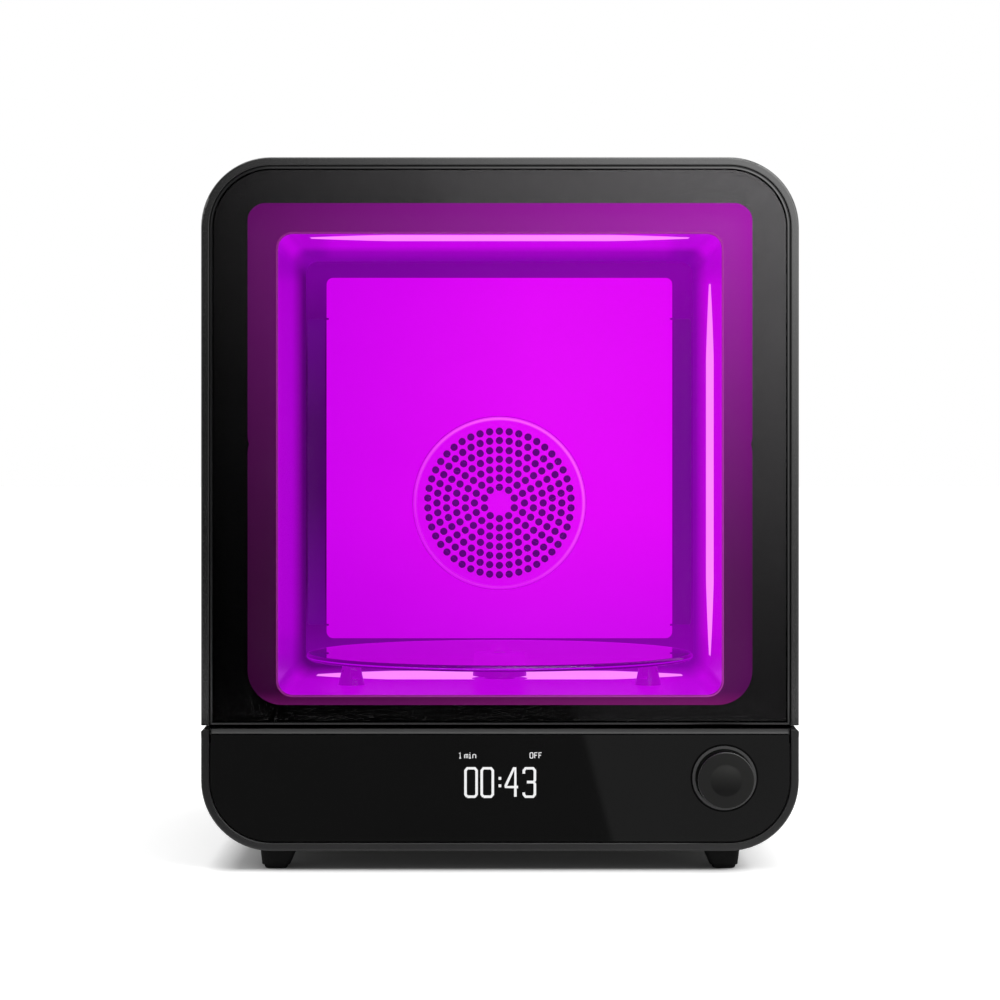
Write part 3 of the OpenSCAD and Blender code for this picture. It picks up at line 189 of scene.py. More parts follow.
def clamp(tree, value, low, high):
    """A value that is held between two limits."""
    return add_node(tree, "ShaderNodeClamp", {"Value": value, "Min": low, "Max": high}).outputs[0]


def grey(level):
    """A colour without hue."""
    return level, level, level


# %% [markdown]
# ## Moulded and painted finishes
# The shells, the knob and the trim are dark plastics that differ in gloss and grain. One recipe makes
# them: a slow change of tone, a roughness that wanders a little, and a fine grain pressed in.

# %% Plastic recipe
def moulded(name, dark, light, rough, grain_scale, grain_depth, specular=0.5, metallic=0.0):
    """A moulded or coated finish with a fine grain."""
    material, tree, shader = new_finish(name)
    slow = cloudy(tree, 18, 4)
    fine = cloudy(tree, grain_scale, 2)
    paint(tree, shader, slow, dark, light)
    tree.links.new(spread(tree, fine, rough - 0.04, rough + 0.06), shader.inputs["Roughness"])
    shader.inputs["Specular IOR Level"].default_value = specular
    shader.inputs["Metallic"].default_value = metallic
    if grain_depth:
        raise_surface(tree, shader, fine, grain_depth)
    return material


shell_paint = moulded("shell_paint", grey(0.009), grey(0.011), 0.36, 2600, 0.00002, 0.6)
rim_plastic = moulded("rim_plastic", grey(0.0045), grey(0.006), 0.22, 2400, 0.00001, 1.0)
rim_plastic.node_tree.nodes["Principled BSDF"].inputs["IOR"].default_value = 1.6
fascia_gloss = moulded("fascia_gloss", grey(0.0012), grey(0.0018), 0.06, 900, 0, 0.5)
edge_gloss = moulded("edge_gloss", grey(0.006), grey(0.009), 0.22, 2400, 0, 0.8)
# Painted shade: a darker, duller copy of the knob plastic for the knob's side and the ring round its bezel,
# which lie in the shade of their recess.
knob_shaded_side = moulded("knob_shaded_side", grey(0.0006), grey(0.0012), 0.5, 2400, 0.00001, 0.08)
inner_plastic = moulded("inner_plastic", (0.010, 0.009, 0.011), (0.016, 0.014, 0.017), 0.5, 1800, 0.00002, 0.3)
knob_plastic = moulded("knob_plastic", grey(0.009), (0.012, 0.012, 0.011), 0.36, 3600, 0.00001, 0.3)
knob_tree = knob_plastic.node_tree
# Painted shade and highlight: the dome in the middle of the knob's face is dark at its lower edge and lighter
# towards the top, as light from above falls on it.
dome_lit_top = ramp(knob_tree, "Z", 0.0385, 0.0475)
dome_within = radius_from(knob_tree, {"X": 0.1039, "Z": 0.04325})
dome_painted_shade = blend_colours(knob_tree, dome_lit_top, grey(0.0015), (0.016, 0.016, 0.015))
knob_with_dome_shade = blend_colours(knob_tree, spread(knob_tree, dome_within, 1, 0, 0.0069, 0.0076),
    knob_tree.nodes["Principled BSDF"].inputs["Base Color"].links[0].from_socket, dome_painted_shade)
knob_tree.links.new(knob_with_dome_shade, knob_tree.nodes["Principled BSDF"].inputs["Base Color"])
bezel_metal = moulded("bezel_metal", grey(0.060), grey(0.075), 0.36, 3000, 0.00001, 0.5)
foot_rubber = moulded("foot_rubber", grey(0.0035), grey(0.006), 0.7, 1500, 0.00004, 0.15)
seal_rubber = moulded("seal_rubber", (0.006, 0.005, 0.006), (0.011, 0.009, 0.011), 0.62, 1200, 0.00003, 0.3)
border_print = moulded("border_print", grey(0.0020), grey(0.0026), 0.06, 900, 0, 0.5)
border_print.node_tree.nodes["Principled BSDF"].inputs["IOR"].default_value = 1.70
deck_satin = moulded("deck_satin", grey(0.048), grey(0.055), 0.34, 2600, 0.00001, 0.5)
ground_edge = moulded("ground_edge", (0.006, 0.006, 0.0065), (0.009, 0.009, 0.0095), 0.20, 3000, 0, 1.0)
bush_plastic = moulded("bush_plastic", (0.50, 0.47, 0.41), (0.62, 0.59, 0.52), 0.42, 1400, 0.00001)
fan_plastic = moulded("fan_plastic", (0.010, 0.010, 0.011), (0.018, 0.018, 0.019), 0.42, 1500, 0.00002)
insulation = moulded("insulation", (0.42, 0.38, 0.26), (0.60, 0.56, 0.42), 0.9, 500, 0.0004, 0.2)
board = moulded("board", (0.010, 0.060, 0.024), (0.016, 0.095, 0.038), 0.45, 900, 0.00003)
light_board = moulded("light_board", (0.50, 0.42, 0.54), (0.66, 0.56, 0.70), 0.4, 900, 0.00002)
print("plastics:", len(bpy.data.materials))

# %% [markdown]
# ## Metals
# Pins, screws and the shaft are turned or drawn, so their fine lines run one way. The stretch of the
# noise makes those lines without any picture.

# %% Metal recipe
def drawn_metal(name, colour, rough, stretch=(1, 1, 14)):
    """A bright metal with fine lines across one axis."""
    material, tree, shader = new_finish(name)
    lines = cloudy(tree, 700, 2, stretch)
    paint(tree, shader, lines, tuple(0.78 * c for c in colour), colour)
    tree.links.new(spread(tree, lines, rough - 0.05, rough + 0.1), shader.inputs["Roughness"])
    shader.inputs["Metallic"].default_value = 1
    raise_surface(tree, shader, lines, 0.00001, 0.5)
    return material


steel = drawn_metal("steel", (0.60, 0.60, 0.61), 0.28)
black_steel = drawn_metal("black_steel", (0.035, 0.035, 0.037), 0.42)
zinc = drawn_metal("zinc", (0.55, 0.56, 0.58), 0.38, (6, 6, 1))
pin_brass = drawn_metal("pin_brass", (0.72, 0.53, 0.26), 0.3)
heater = drawn_metal("heater", (0.22, 0.16, 0.19), 0.5)
print("metals are ready")

# %% [markdown]
# ## The glow of the chamber
# The lamps fill the chamber with violet light. Its walls take most of it in front and grow darker
# towards the back, past the ends of the light bars. Each surface keeps a body colour, and that light is
# painted on as a glow: it gives off the part of the light that it would scatter, so the chamber glows in
# any room.

# %% Glow recipes
GRILLE_Z = 0.1664


def glowing(name, body, rough, tone, strength=1.0, specular=0.5, grain=0.00001):
    """A glowing surface, either a lamp or painted light. tone(tree) gives the colour of its glow."""
    material, tree, shader = new_finish(name)
    fine = cloudy(tree, 1500, 2)
    tree.links.new(spread(tree, fine, rough - 0.04, rough + 0.05), shader.inputs["Roughness"])
    shader.inputs["Specular IOR Level"].default_value = specular
    paint(tree, shader, cloudy(tree, 25), tuple(0.85 * c for c in body), body)
    tree.links.new(tone(tree), shader.inputs["Emission Color"])
    shader.inputs["Emission Strength"].default_value = strength
    if grain:
        raise_surface(tree, shader, fine, grain)
    return material


def panel_tone(tree):
    """Brightest right of the middle, darker to the left and low down."""
    across = ramp(tree, "X", -0.094, 0.02)
    up = ramp(tree, "Z", 0.09, 0.16)
    level = blend_colours(tree, across, (0.625, 0.0004, 0.85), (0.775, 0.0010, 0.95))
    lower = blend_colours(tree, across, (0.54, 0.0006, 0.76), (0.63, 0.0026, 0.85))
    return blend_colours(tree, up, lower, level)


def grille_tone(tree):
    """Painted light: the panel's light, and a painted highlight on the crest of the raised ring that is
    strongest at the upper right.
    """
    flat = panel_tone(tree)
    x = place_along(tree, "X")
    z = arithmetic(tree, "SUBTRACT", place_along(tree, "Z"), GRILLE_Z)
    radius = radius_from(tree, {"X": 0, "Z": GRILLE_Z})
    crest_highlight = spread(tree, arithmetic(tree, "ABSOLUTE", arithmetic(tree, "SUBTRACT", radius, 0.0457)),
        1, 0, 0.0003, 0.0010)
    towards = spread(tree, plus(tree, times(tree, x, 0.6), z),
        0.15, 1.0, -0.035, 0.045)
    return blend_colours(tree, times(tree, crest_highlight, towards), flat, (1.0, 0.10, 1.0))


def wall_tone(tree):
    """Painted light: bright from the mouth to the ends of the light bars, then dark, the ceiling first. A
    painted highlight runs along the front edge.
    """
    side_end = ramp(tree, "Y", -0.010, 0.080)
    top_end = ramp(tree, "Y", -0.022, 0.026)
    right = ramp(tree, "X", -0.10, 0.10)
    up = ramp(tree, "Z", 0.288, 0.296)
    down = ramp(tree, "Z", 0.0795, 0.084, 1, 0)
    # Painted highlight: a pale line along the liner's front edge.
    edge = ramp(tree, "Y", -0.1065, -0.1045, 1, 0)
    sides = blend_colours(tree, right, (0.285, 0.0002, 0.46), (0.43, 0.0008, 0.60))
    flat = blend_colours(tree, right, (0.42, 0.0006, 0.62), (0.46, 0.0014, 0.66))
    bright = blend_colours(tree, arithmetic(tree, "MAXIMUM", up, down), sides, flat)
    low = blend_colours(tree, right, (0.060, 0.0004, 0.105), (0.19, 0.001, 0.32))
    deep_sides = blend_colours(tree, side_end, bright, low)
    deep_top = blend_colours(tree, top_end, bright, (0.185, 0.0006, 0.33))
    inside = blend_colours(tree, up, deep_sides, deep_top)
    return blend_colours(tree, times(tree, edge, 0.7), inside, (0.60, 0.040, 0.74))


def back_wall_tone(tree):
    """Painted light: darkest beside the panel, lighter along the ceiling and near the floor."""
    up = ramp(tree, "Z", 0.24, 0.29)
    down = ramp(tree, "Z", 0.088, 0.125, 1, 0)
    right = ramp(tree, "X", -0.10, 0.10)
    middle = blend_colours(tree, right, (0.056, 0.0004, 0.098), (0.20, 0.0006, 0.34))
    ends = blend_colours(tree, right, (0.185, 0.0006, 0.325), (0.26, 0.0010, 0.42))
    return blend_colours(tree, arithmetic(tree, "MAXIMUM", up, down), middle, ends)


def flange_tone(tree):
    """Painted light: faint on the left, stronger to the right, the top and along the bottom. Painted shade on
    the mouth's inner wall and below the door.
    """
    x, z = place_along(tree, "X"), place_along(tree, "Z")
    right = spread(tree, x, 0, 1, -0.12, 0.12)
    up = arithmetic(tree, "POWER", spread(tree, z, 0, 1, 0.12, 0.30), 1.5)
    low = blend_colours(tree, right, (0.030, 0.0012, 0.026), (0.092, 0.0060, 0.092))
    high = blend_colours(tree, right, (0.116, 0.0050, 0.120), (0.43, 0.0150, 0.47))
    sides = blend_colours(tree, up, low, high)
    sill = blend_colours(tree, spread(tree, x, 0, 1, -0.07, 0.05), (0.114, 0.0050, 0.090),
        (0.19, 0.0100, 0.135))
    face = blend_colours(tree, spread(tree, z, 1, 0, 0.0745, 0.081), sides, sill)
    deep = ramp(tree, "Y", -0.1088, -0.1084)
    lit = blend_colours(tree, deep, face, (0.10, 0.0003, 0.092))
    return blend_colours(tree, spread(tree, z, 1, 0, 0.069, 0.071), lit, grey(0.0))


def duct_tone(tree):
    """The air duct behind the chamber, seen through the grille and the outlets. Its glow is painted light,
    stronger to the right.
    """
    side = spread(tree, arithmetic(tree, "ABSOLUTE", place_along(tree, "X")), 0, 1, 0.05, 0.09)
    right = ramp(tree, "X", -0.09, 0.09)
    ends = spread(tree, arithmetic(tree, "ABSOLUTE", arithmetic(tree, "SUBTRACT",
        place_along(tree, "Z"), 0.19)), 0, 1, 0.02, 0.09)
    middle = blend_colours(tree, right, (0.062, 0.0010, 0.108), (0.150, 0.0020, 0.265))
    tips = blend_colours(tree, right, (0.13, 0.0012, 0.25), (0.180, 0.0020, 0.30))
    return blend_colours(tree, side, (0.085, 0.0010, 0.165), blend_colours(tree, ends, middle, tips))


def post_tone(tree):
    """The posts and the hub stand in the light of the floor bar."""
    return blend_colours(tree, ramp(tree, "X", -0.10, 0.10),
        (0.33, 0.0008, 0.50), (0.40, 0.0015, 0.58))


def bead_highlight(tree):
    """A painted highlight: the rounded edge of the mouth glows as a thin pale line, stronger to the right."""
    right = ramp(tree, "X", -0.12, 0.12)
    return blend_colours(tree, right, (0.19, 0.014, 0.17), (0.36, 0.036, 0.33))


def lamp_tone(tree):
    """Pale pink that varies a little in soft random patches."""
    return blend_colours(tree, spread(tree, cloudy(tree, 30), 0, 1), (0.94, 0.25, 1.0), (0.98, 0.28, 1.0))


panel_light = glowing("panel_light", (0.03, 0.0005, 0.04), 0.35, panel_tone, 1.0, 0.08)
grille_sheet = glowing("grille_sheet", (0.03, 0.0005, 0.04), 0.30, grille_tone, 1.0, 0.12)
liner_plastic = glowing("liner_plastic", (0.03, 0.0003, 0.04), 0.30, wall_tone, 0.92, 0.12)
back_wall = glowing("back_wall", (0.03, 0.0003, 0.04), 0.4, back_wall_tone, 0.92, 0.1)
flange_plastic = glowing("flange_plastic", (0.012, 0.001, 0.010), 0.35, flange_tone, 0.9, 0.16)
duct_plastic = glowing("duct_plastic", (0.030, 0.002, 0.035), 0.45, duct_tone, 1.0, 0.3)
post_plastic = glowing("post_plastic", (0.03, 0.0003, 0.04), 0.35, post_tone, 0.95, 0.15)
bead_plastic = glowing("bead_plastic", (0.06, 0.010, 0.06), 0.3, bead_highlight, 1.0, 0.4)
lamp_lens = glowing("lamp_lens", (0.20, 0.05, 0.22), 0.3, lamp_tone, 1.0, 0.3, 0)
print("lit surfaces are ready")

# %% [markdown]
# ## Glass
# The door's glass is clear with a printed border behind it. Its anti-glare coat mirrors very little, so
# its refractive index is set low, and the wide sheen comes from the gloss of the print behind it. The
# turntable is a clear disc with a real thickness. Light that gets into a clear disc travels inside it and
# comes out at the rim, so the outer half millimetre is given a faint painted glow.

# %% Glass recipes
def clear_glass(name, tint, rough, ior=1.45):
    """Glass with faint smears in its gloss."""
    material, tree, shader = new_finish(name)
    smear = cloudy(tree, 14, 5, (1, 1, 2.5))
    tree.links.new(spread(tree, smear, rough, rough + 0.004, 0.45, 0.75), shader.inputs["Roughness"])
    paint(tree, shader, smear, tuple(0.985 * c for c in tint), tint)
    shader.inputs["Transmission Weight"].default_value = 1
    shader.inputs["IOR"].default_value = ior
    return material


front_glass_finish = clear_glass("front_glass", (0.99, 0.975, 0.99), 0.0, 1.045)
table_glass = clear_glass("table_glass", (0.94, 0.52, 0.96), 0.0)
table_tree = table_glass.node_tree
table_radius = radius_from(table_tree, {"X": 0, "Y": -0.00225})
rim_light = blend_colours(table_tree, spread(table_tree, table_radius, 0, 1, 0.0962, 0.0968),
    grey(0.0), (0.13, 0.0004, 0.22))
table_shader = table_tree.nodes["Principled BSDF"]
table_tree.links.new(rim_light, table_shader.inputs["Emission Color"])
table_shader.inputs["Emission Strength"].default_value = 1.0
print("glass is ready")

# %% [markdown]
# ## Display finishes
# The digits light up behind the gloss fascia.

# %% Display finishes
display_dark = moulded("display_dark", (0.003, 0.003, 0.004), (0.005, 0.005, 0.006), 0.2, 800, 0, 0.3)
digit_light, digit_tree, digit_shader = new_finish("digit_light")
digit_tone = blend_colours(digit_tree, spread(digit_tree, cloudy(digit_tree, 900), 0, 1),
    (0.86, 0.86, 0.87), grey(0.95))
digit_tree.links.new(digit_tone, digit_shader.inputs["Emission Color"])
digit_shader.inputs["Emission Strength"].default_value = 0.95
digit_shader.inputs["Base Color"].default_value = (0.02, 0.02, 0.02, 1)
digit_shader.inputs["Roughness"].default_value = 0.4

# %% [markdown]
# ## Dress the solids
# Each node takes the finish of its material slot. The list is short enough to read, and a node that is
# missing from it would show at once, because the cell counts them.

# %% Give every solid its finish
FINISHES = {
    shell_paint: ["base_housing", "upper_shell", "rear_cover"],
    rim_plastic: ["door_frame"],
    fascia_gloss: ["fascia_panel"],
    front_glass_finish: ["door_glass"],
    border_print: ["glass_mask"],
    deck_satin: ["deck_plate"],
    inner_plastic: ["door_inner_panel", "power_inlet", "switch_frame", "power_rocker", "encoder_body"],
    knob_plastic: ["knob"],
    bezel_metal: ["knob_bezel"],
    foot_rubber: ["feet"],
    seal_rubber: ["door_seal"],
    liner_plastic: ["chamber_liner"],
    back_wall: ["chamber_back"],
    duct_plastic: ["plenum_cover", "fan_housing", "led_board_back", "fan_impeller"],
    post_plastic: ["roller_posts", "floor_bush", "turntable_hub", "roller_left", "roller_right",
        "roller_rear"],
    flange_plastic: ["front_flange"],
    panel_light: ["back_light_panel"],
    grille_sheet: ["fan_grille"],
    lamp_lens: ["light_bar_top", "light_bar_right", "light_bar_floor"],
    table_glass: ["turntable_glass"],
    bush_plastic: ["hinge_bushes", "encoder_plunger"],
    steel: ["roller_pins", "drive_shaft", "encoder_shaft", "door_hardware", "strike_plates"],
    black_steel: ["hinge_pins", "cover_screws"],
    zinc: ["hinge_arm", "turntable_motor", "fan_motor"],
    board: ["control_board", "power_supply"],
    light_board: ["led_board_top", "led_board_right", "led_board_floor"],
    display_dark: ["display_module"],
    pin_brass: ["inlet_pins", "temperature_probe"],
    insulation: ["insulation_wrap"],
    fan_plastic: ["cooling_fan_frame", "cooling_fan_rotor"],
    heater: ["heater_ring"],
}
dressed = 0
for finish, names in FINISHES.items():
    for name in names:
        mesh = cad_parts[name].data
        mesh.materials.clear()
        mesh.materials.append(finish)
        dressed += 1
print("dressed", dressed, "of", len(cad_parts), "nodes")

# %% [markdown]
# ## Helpers for new pieces
# A new piece is a plain mesh with its place in its points. It rides on a body of the frame and may
# stand for a solid, which is then hidden.

# %% Piece helpers
def finish_piece(name, mesh, body, slot, *stands_for, smooth=True):
    """Puts a finished mesh in the scene and says what it is."""
    mesh.name = name
    piece = new_object(name, mesh)
    if smooth:
        mesh.shade_smooth()
        mesh.set_sharp_from_angle(angle=math.radians(32))
    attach(piece, body)
    if stands_for:
        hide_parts(*stands_for)
    print(f"{name}: {len(mesh.polygons)} faces on {body}")
    return piece


def new_mesh(points, faces, finish=None, edges=()):
    """A mesh from lists, with one finish."""
    mesh = bpy.data.meshes.new("shape")
    mesh.from_pydata(points, edges, faces)
    mesh.validate()
    if finish:
        mesh.materials.append(finish)
    return mesh


def round_corners(corners, steps=14):
    """The outline of a polygon in X and Z whose corners (x, z, radius) are rounded. It turns left."""
    outline = []
    count = len(corners)
    for i, (x, z, r) in enumerate(corners):
        here = Vector((x, z))
        before = (Vector(corners[i - 1][:2]) - here).normalized()
        after = (Vector(corners[(i + 1) % count][:2]) - here).normalized()
        if r <= 0:
            outline.append((x, z))
            continue
        half = before.angle(after) / 2
        centre = here + (before + after).normalized() * r / math.sin(half)
        first = here + before * r / math.tan(half) - centre
        last = here + after * r / math.tan(half) - centre
        start = math.atan2(first.y, first.x)
        turn = (math.atan2(last.y, last.x) - start + math.pi) % (2 * math.pi) - math.pi
        for k in range(steps + 1):
            a = start + turn * k / steps
            outline.append((centre.x + r * math.cos(a), centre.y + r * math.sin(a)))
    return outline


def round_frame(x0, x1, z0, z1, r, steps):
    """A rectangle in X and Z with four equal round corners."""
    return round_corners([(x0, z0, r), (x1, z0, r), (x1, z1, r), (x0, z1, r)], steps)


def inset_outline(outline, distance):
    """Moves a closed outline inwards by the same distance everywhere."""
    moved = []
    count = len(outline)
    for i, (x, z) in enumerate(outline):
        a, b = Vector(outline[i - 1]), Vector(outline[(i + 1) % count])
        here = Vector((x, z))
        d1, d2 = (here - a).normalized(), (b - here).normalized()
        n1, n2 = Vector((-d1.y, d1.x)), Vector((-d2.y, d2.x))
        n = (n1 + n2).normalized()
        moved.append(tuple(here + n * distance / max(0.5, n.dot(n1))))
    return moved


def loft(loops):
    """Skins a row of loops of the same length and closes its ends. The first loop is the front."""
    points = [p for loop in loops for p in loop]
    count = len(loops[0])
    faces = []
    for j in range(len(loops) - 1):
        for i in range(count):
            k = (i + 1) % count
            faces.append((j * count + i, (j + 1) * count + i, (j + 1) * count + k, j * count + k))
    faces.append(tuple(range(count)))
    last = (len(loops) - 1) * count
    faces.append(tuple(last + i for i in reversed(range(count))))
    return points, faces


def facing_out(mesh):
    """Merges points that coincide and turns every face outwards."""
    shape = bmesh.new()
    shape.from_mesh(mesh)
    bmesh.ops.remove_doubles(shape, verts=shape.verts, dist=1e-6)
    bmesh.ops.recalc_face_normals(shape, faces=shape.faces)
    shape.to_mesh(mesh)
    shape.free()
    return mesh


def turned(profile, centre, finish, steps=48):
    """A closed profile of (y, radius) turned round a line along Y."""
    points, faces = [], []
    count = len(profile)
    for k in range(steps):
        a = 2 * math.pi * k / steps
        points += [(centre[0] + r * math.sin(a), y, centre[1] + r * math.cos(a)) for y, r in profile]
    for k in range(steps):
        n = (k + 1) % steps
        for i in range(count):
            j = (i + 1) % count
            faces.append((k * count + i, k * count + j, n * count + j, n * count + i))
    return facing_out(new_mesh(points, faces, finish))


# %% [markdown]
# ## Front glass
# The real pane has ground edges, which catch the light as a thin line just inside the black gap. A
# solid with a sharp edge can't show that line, so the pane is built again from its outline: a narrow
# round in four steps, the full outline, and the back. The ground faces get a finish of their own.

# %% Front glass
GLASS_CORNER = 27.9 * MM
EDGE_WIDE, EDGE_DEEP, PANE_GROWN = 1.05 * MM, 0.5 * MM, 0.35 * MM
glass_low, glass_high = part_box("door_glass")
pane = round_corners([
    (glass_low.x, glass_low.z, 0.6 * MM), (glass_high.x, glass_low.z, 0.6 * MM),
    (glass_high.x, glass_high.z, GLASS_CORNER), (glass_low.x, glass_high.z, GLASS_CORNER)], 24)


def pane_loop(inset, y):
    """The pane's outline, drawn in, at a depth."""
    return [(x, y, z) for x, z in (inset_outline(pane, inset) if inset else pane)]


pane_loops = []
for k in range(5):
    a = math.radians(22.5 * k)
    pane_loops.append(pane_loop(EDGE_WIDE * (1 - math.sin(a)) - PANE_GROWN,
        glass_low.y + EDGE_DEEP * (1 - math.cos(a))))
pane_loops.append(pane_loop(-PANE_GROWN, glass_high.y - 0.05 * MM))
pane_points, pane_faces = loft(pane_loops)
front_glass = finish_piece("front_glass", new_mesh(pane_points, pane_faces, front_glass_finish),
    "door", "front_glass", "door_glass", smooth=False)
front_glass.data.materials.append(ground_edge)
for face in front_glass.data.polygons:
    face.material_index = 1 if len(face.vertices) == 4 else 0
    face.use_smooth = len(face.vertices) == 4

# %% [markdown]
# ## One tree for everything that follows an outline
# The door's rim ends in a rounded inner edge, the mouth of the chamber in a thin bead, and a soft seal
# runs round it. Each is a small section carried along an outline. One Geometry Nodes tree does them
# all: it turns a row of points into a curve and sweeps an oval along it. The two half sizes of the oval
# are inputs.

# %% Sweep tree
def start_tree(name, **inputs):
    """A tree that takes geometry and named inputs, its first node and the inputs' identifiers."""
    tree = bpy.data.node_groups.new(name, "GeometryNodeTree")
    names = {}
    for key, kind in {"Geometry": "Geometry", **inputs}.items():
        key = key.replace("_", " ")
        names[key] = tree.interface.new_socket(key, in_out="INPUT",
            socket_type="NodeSocket" + kind).identifier
    tree.interface.new_socket("Geometry", in_out="OUTPUT", socket_type="NodeSocketGeometry")
    return tree, tree.nodes.new("NodeGroupInput"), names


def end_tree(tree, geometry, finish):
    """Makes the result real, paints it and hands it out."""
    real = add_node(tree, "GeometryNodeRealizeInstances", {"Geometry": geometry})
    painted = add_node(tree, "GeometryNodeSetMaterial", {"Geometry": real.outputs[0],
        "Material": finish})
    tree.links.new(painted.outputs[0], tree.nodes.new("NodeGroupOutput").inputs["Geometry"])


def sweep_tree(name, finish, sides=12):
    """Mesh edges in, a swept oval out, or a flat bar for no sides. Inputs: Half Width, Half Depth."""
    tree, start, names = start_tree(name, Half_Width="Float", Half_Depth="Float")
    curve = add_node(tree, "GeometryNodeMeshToCurve", {"Mesh": start.outputs["Geometry"]})
    upright = add_node(tree, "GeometryNodeSetCurveNormal", {"Curve": curve.outputs[0],
        "Normal": (0, 1, 0)}, mode="FREE")
    if sides:
        ring = add_node(tree, "GeometryNodeCurvePrimitiveCircle", {"Resolution": sides, "Radius": 1.0})
    else:
        ring = add_node(tree, "GeometryNodeCurvePrimitiveQuadrilateral", {"Width": 2.0, "Height": 2.0})
    halves = add_node(tree, "ShaderNodeCombineXYZ", {"X": start.outputs["Half Depth"],
        "Y": start.outputs["Half Width"], "Z": 1.0})
    oval = add_node(tree, "GeometryNodeTransform", {"Geometry": ring.outputs[0],
        "Scale": halves.outputs[0]})
    swept = add_node(tree, "GeometryNodeCurveToMesh", {"Curve": upright.outputs[0],
        "Profile Curve": oval.outputs[0], "Fill Caps": True})
    end_tree(tree, swept.outputs[0], finish)
    return tree, names


def grow(name, mesh, tree, names, values, body, slot, *stands_for, smooth=True):
    """Runs a node tree on a mesh and keeps its result as a plain piece."""
    seedling = new_object("seedling", mesh)
    modifier = seedling.modifiers.new("grow", "NODES")
    modifier.node_group = tree
    for key, value in values.items():
        modifier[names[key]] = value
    bpy.context.view_layer.update()
    grown = seedling.evaluated_get(bpy.context.evaluated_depsgraph_get())
    result = bpy.data.meshes.new_from_object(grown)
    seedling.modifiers.clear()
    bpy.data.objects.remove(seedling)
    return finish_piece(name, result, body, slot, *stands_for, smooth=smooth)


def path_mesh(outline, y, closed=True):
    """A row of points in X and Z as edges at one depth."""
    count = len(outline)
    edges = [(i, (i + 1) % count) for i in range(count if closed else count - 1)]
    return new_mesh([(x, y, z) for x, z in outline], [], None, edges)


# %% [markdown]
# ## Rounded inner edges of the rim
# Where the rim meets the black gap its edge is rounded, and that round always finds a lamp to mirror.
# It shows as a thin light line along the top and the corners. The door carries one length and the base
# the other.

# %% Rim edges
RIM_FACE, EDGE_RADIUS = 3.40 * MM, 0.30 * MM
shell_low, shell_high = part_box("base_housing")[0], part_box("door_frame")[1]
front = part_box("door_frame")[0].y
door_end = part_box("door_frame")[0].z
base_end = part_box("base_housing")[1].z - 2.0 * MM
CABINET_CORNER = 32.5 * MM


def rim_path(inset, end, over=True):
    """The cabinet's outline, drawn in: over the top for the door, or under the base, to a height."""
    sides = [shell_high.x - inset, shell_low.x + inset]
    edge = shell_high.z - inset if over else shell_low.z + inset
    first, last = sides if over else reversed(sides)
    r = CABINET_CORNER - inset
    return round_corners([(first, end, 0), (first, edge, r), (last, edge, r), (last, end, 0)], 20)


edge_tree, edge_names = sweep_tree("rim_edges", edge_gloss)
edge_sizes = {"Half Width": EDGE_RADIUS, "Half Depth": EDGE_RADIUS}
for name, path, body, slot in (
        ("door_rim_edge", rim_path(RIM_FACE, door_end + 0.2 * MM), "door", "rim_plastic"),
        ("base_rim_edge", rim_path(RIM_FACE, base_end, over=False), "cabinet", "shell_paint")):
    grow(name, path_mesh(path, front + 0.285 * MM, closed=False), edge_tree, edge_names, edge_sizes,
        body, slot)

# %% [markdown]
# ## Shoulders of the base and the strip under the door
# Under the door the base's side walls end in a shoulder with a bevel outside and a small round in front,
# and a bevelled strip closes the deck. Both are bent or moulded lengths of one section, so each is a row
# of sections skinned along its length.

# %% Shoulders and strip
wall_out, shoulder_top = shell_high.x, 67.07 * MM
wall_in = wall_out - 3.65 * MM
SHOULDER_FOOT, BEVEL_START, BEVEL_REACH = 62.2 * MM, 64.7 * MM, 2.0 * MM
door_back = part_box("upper_shell")[0].y
base_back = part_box("base_housing")[1].y


def shoulder_section(top):
    """Section of a wall's end as (x, z), bevelled outside, up to a height."""
    slope_in = min(1.0, (top - BEVEL_START) / (shoulder_top - BEVEL_START)) * BEVEL_REACH
    return [(wall_in, SHOULDER_FOOT), (wall_out - 0.08 * MM, SHOULDER_FOOT),
        (wall_out - 0.03 * MM, BEVEL_START - 0.1 * MM), (wall_out, BEVEL_START),
        (wall_out - slope_in, top), (wall_in, top)]


SHOULDER_STEPS = [(front + 0.02 * MM, 65.42), (front + 0.07 * MM, 65.56), (front + 0.18 * MM, 65.64),
    (front + 0.4 * MM, 65.68), (front + 3.2 * MM, 65.70), (front + 3.25 * MM, 67.07), (door_back, 67.07),
    (door_back + 0.02 * MM, 65.87), (base_back - 0.05 * MM, 65.87)]
for name, side in (("right_shoulder", 1), ("left_shoulder", -1)):
    loops = [[(side * x, y, z) for x, z in shoulder_section(top * MM)] for y, top in SHOULDER_STEPS]
    points, faces = loft(loops)
    finish_piece(name, facing_out(new_mesh(points, faces, shell_paint)), "cabinet", "shell_paint",
        smooth=False)

deck_front, deck_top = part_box("deck_plate")[0].y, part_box("deck_plate")[1].z
strip_half = 133.9 * MM
strip_section = [(deck_front + 0.02 * MM, deck_top - 2.08 * MM), (deck_front, deck_top - 1.98 * MM),
    (deck_front + 0.10 * MM, deck_top - 1.80 * MM), (deck_front + 1.85 * MM, deck_top - 0.08 * MM),
    (deck_front + 2.05 * MM, deck_top - 0.01 * MM), (deck_front + 3.9 * MM, deck_top - 1.8 * MM),
    (deck_front + 3.5 * MM, deck_top - 2.08 * MM)]
strip_loops = []
for x, shrink in ((-strip_half, 0.45), (-strip_half + 0.25 * MM, 0.12), (-strip_half + 0.7 * MM, 0.0),
        (strip_half - 0.7 * MM, 0.0), (strip_half - 0.25 * MM, 0.12), (strip_half, 0.45)):
    middle_y = deck_front + 1.6 * MM
    middle_z = deck_top - 1.2 * MM
    strip_loops.append([(x, y + (middle_y - y) * shrink, z + (middle_z - z) * shrink)
        for y, z in strip_section])
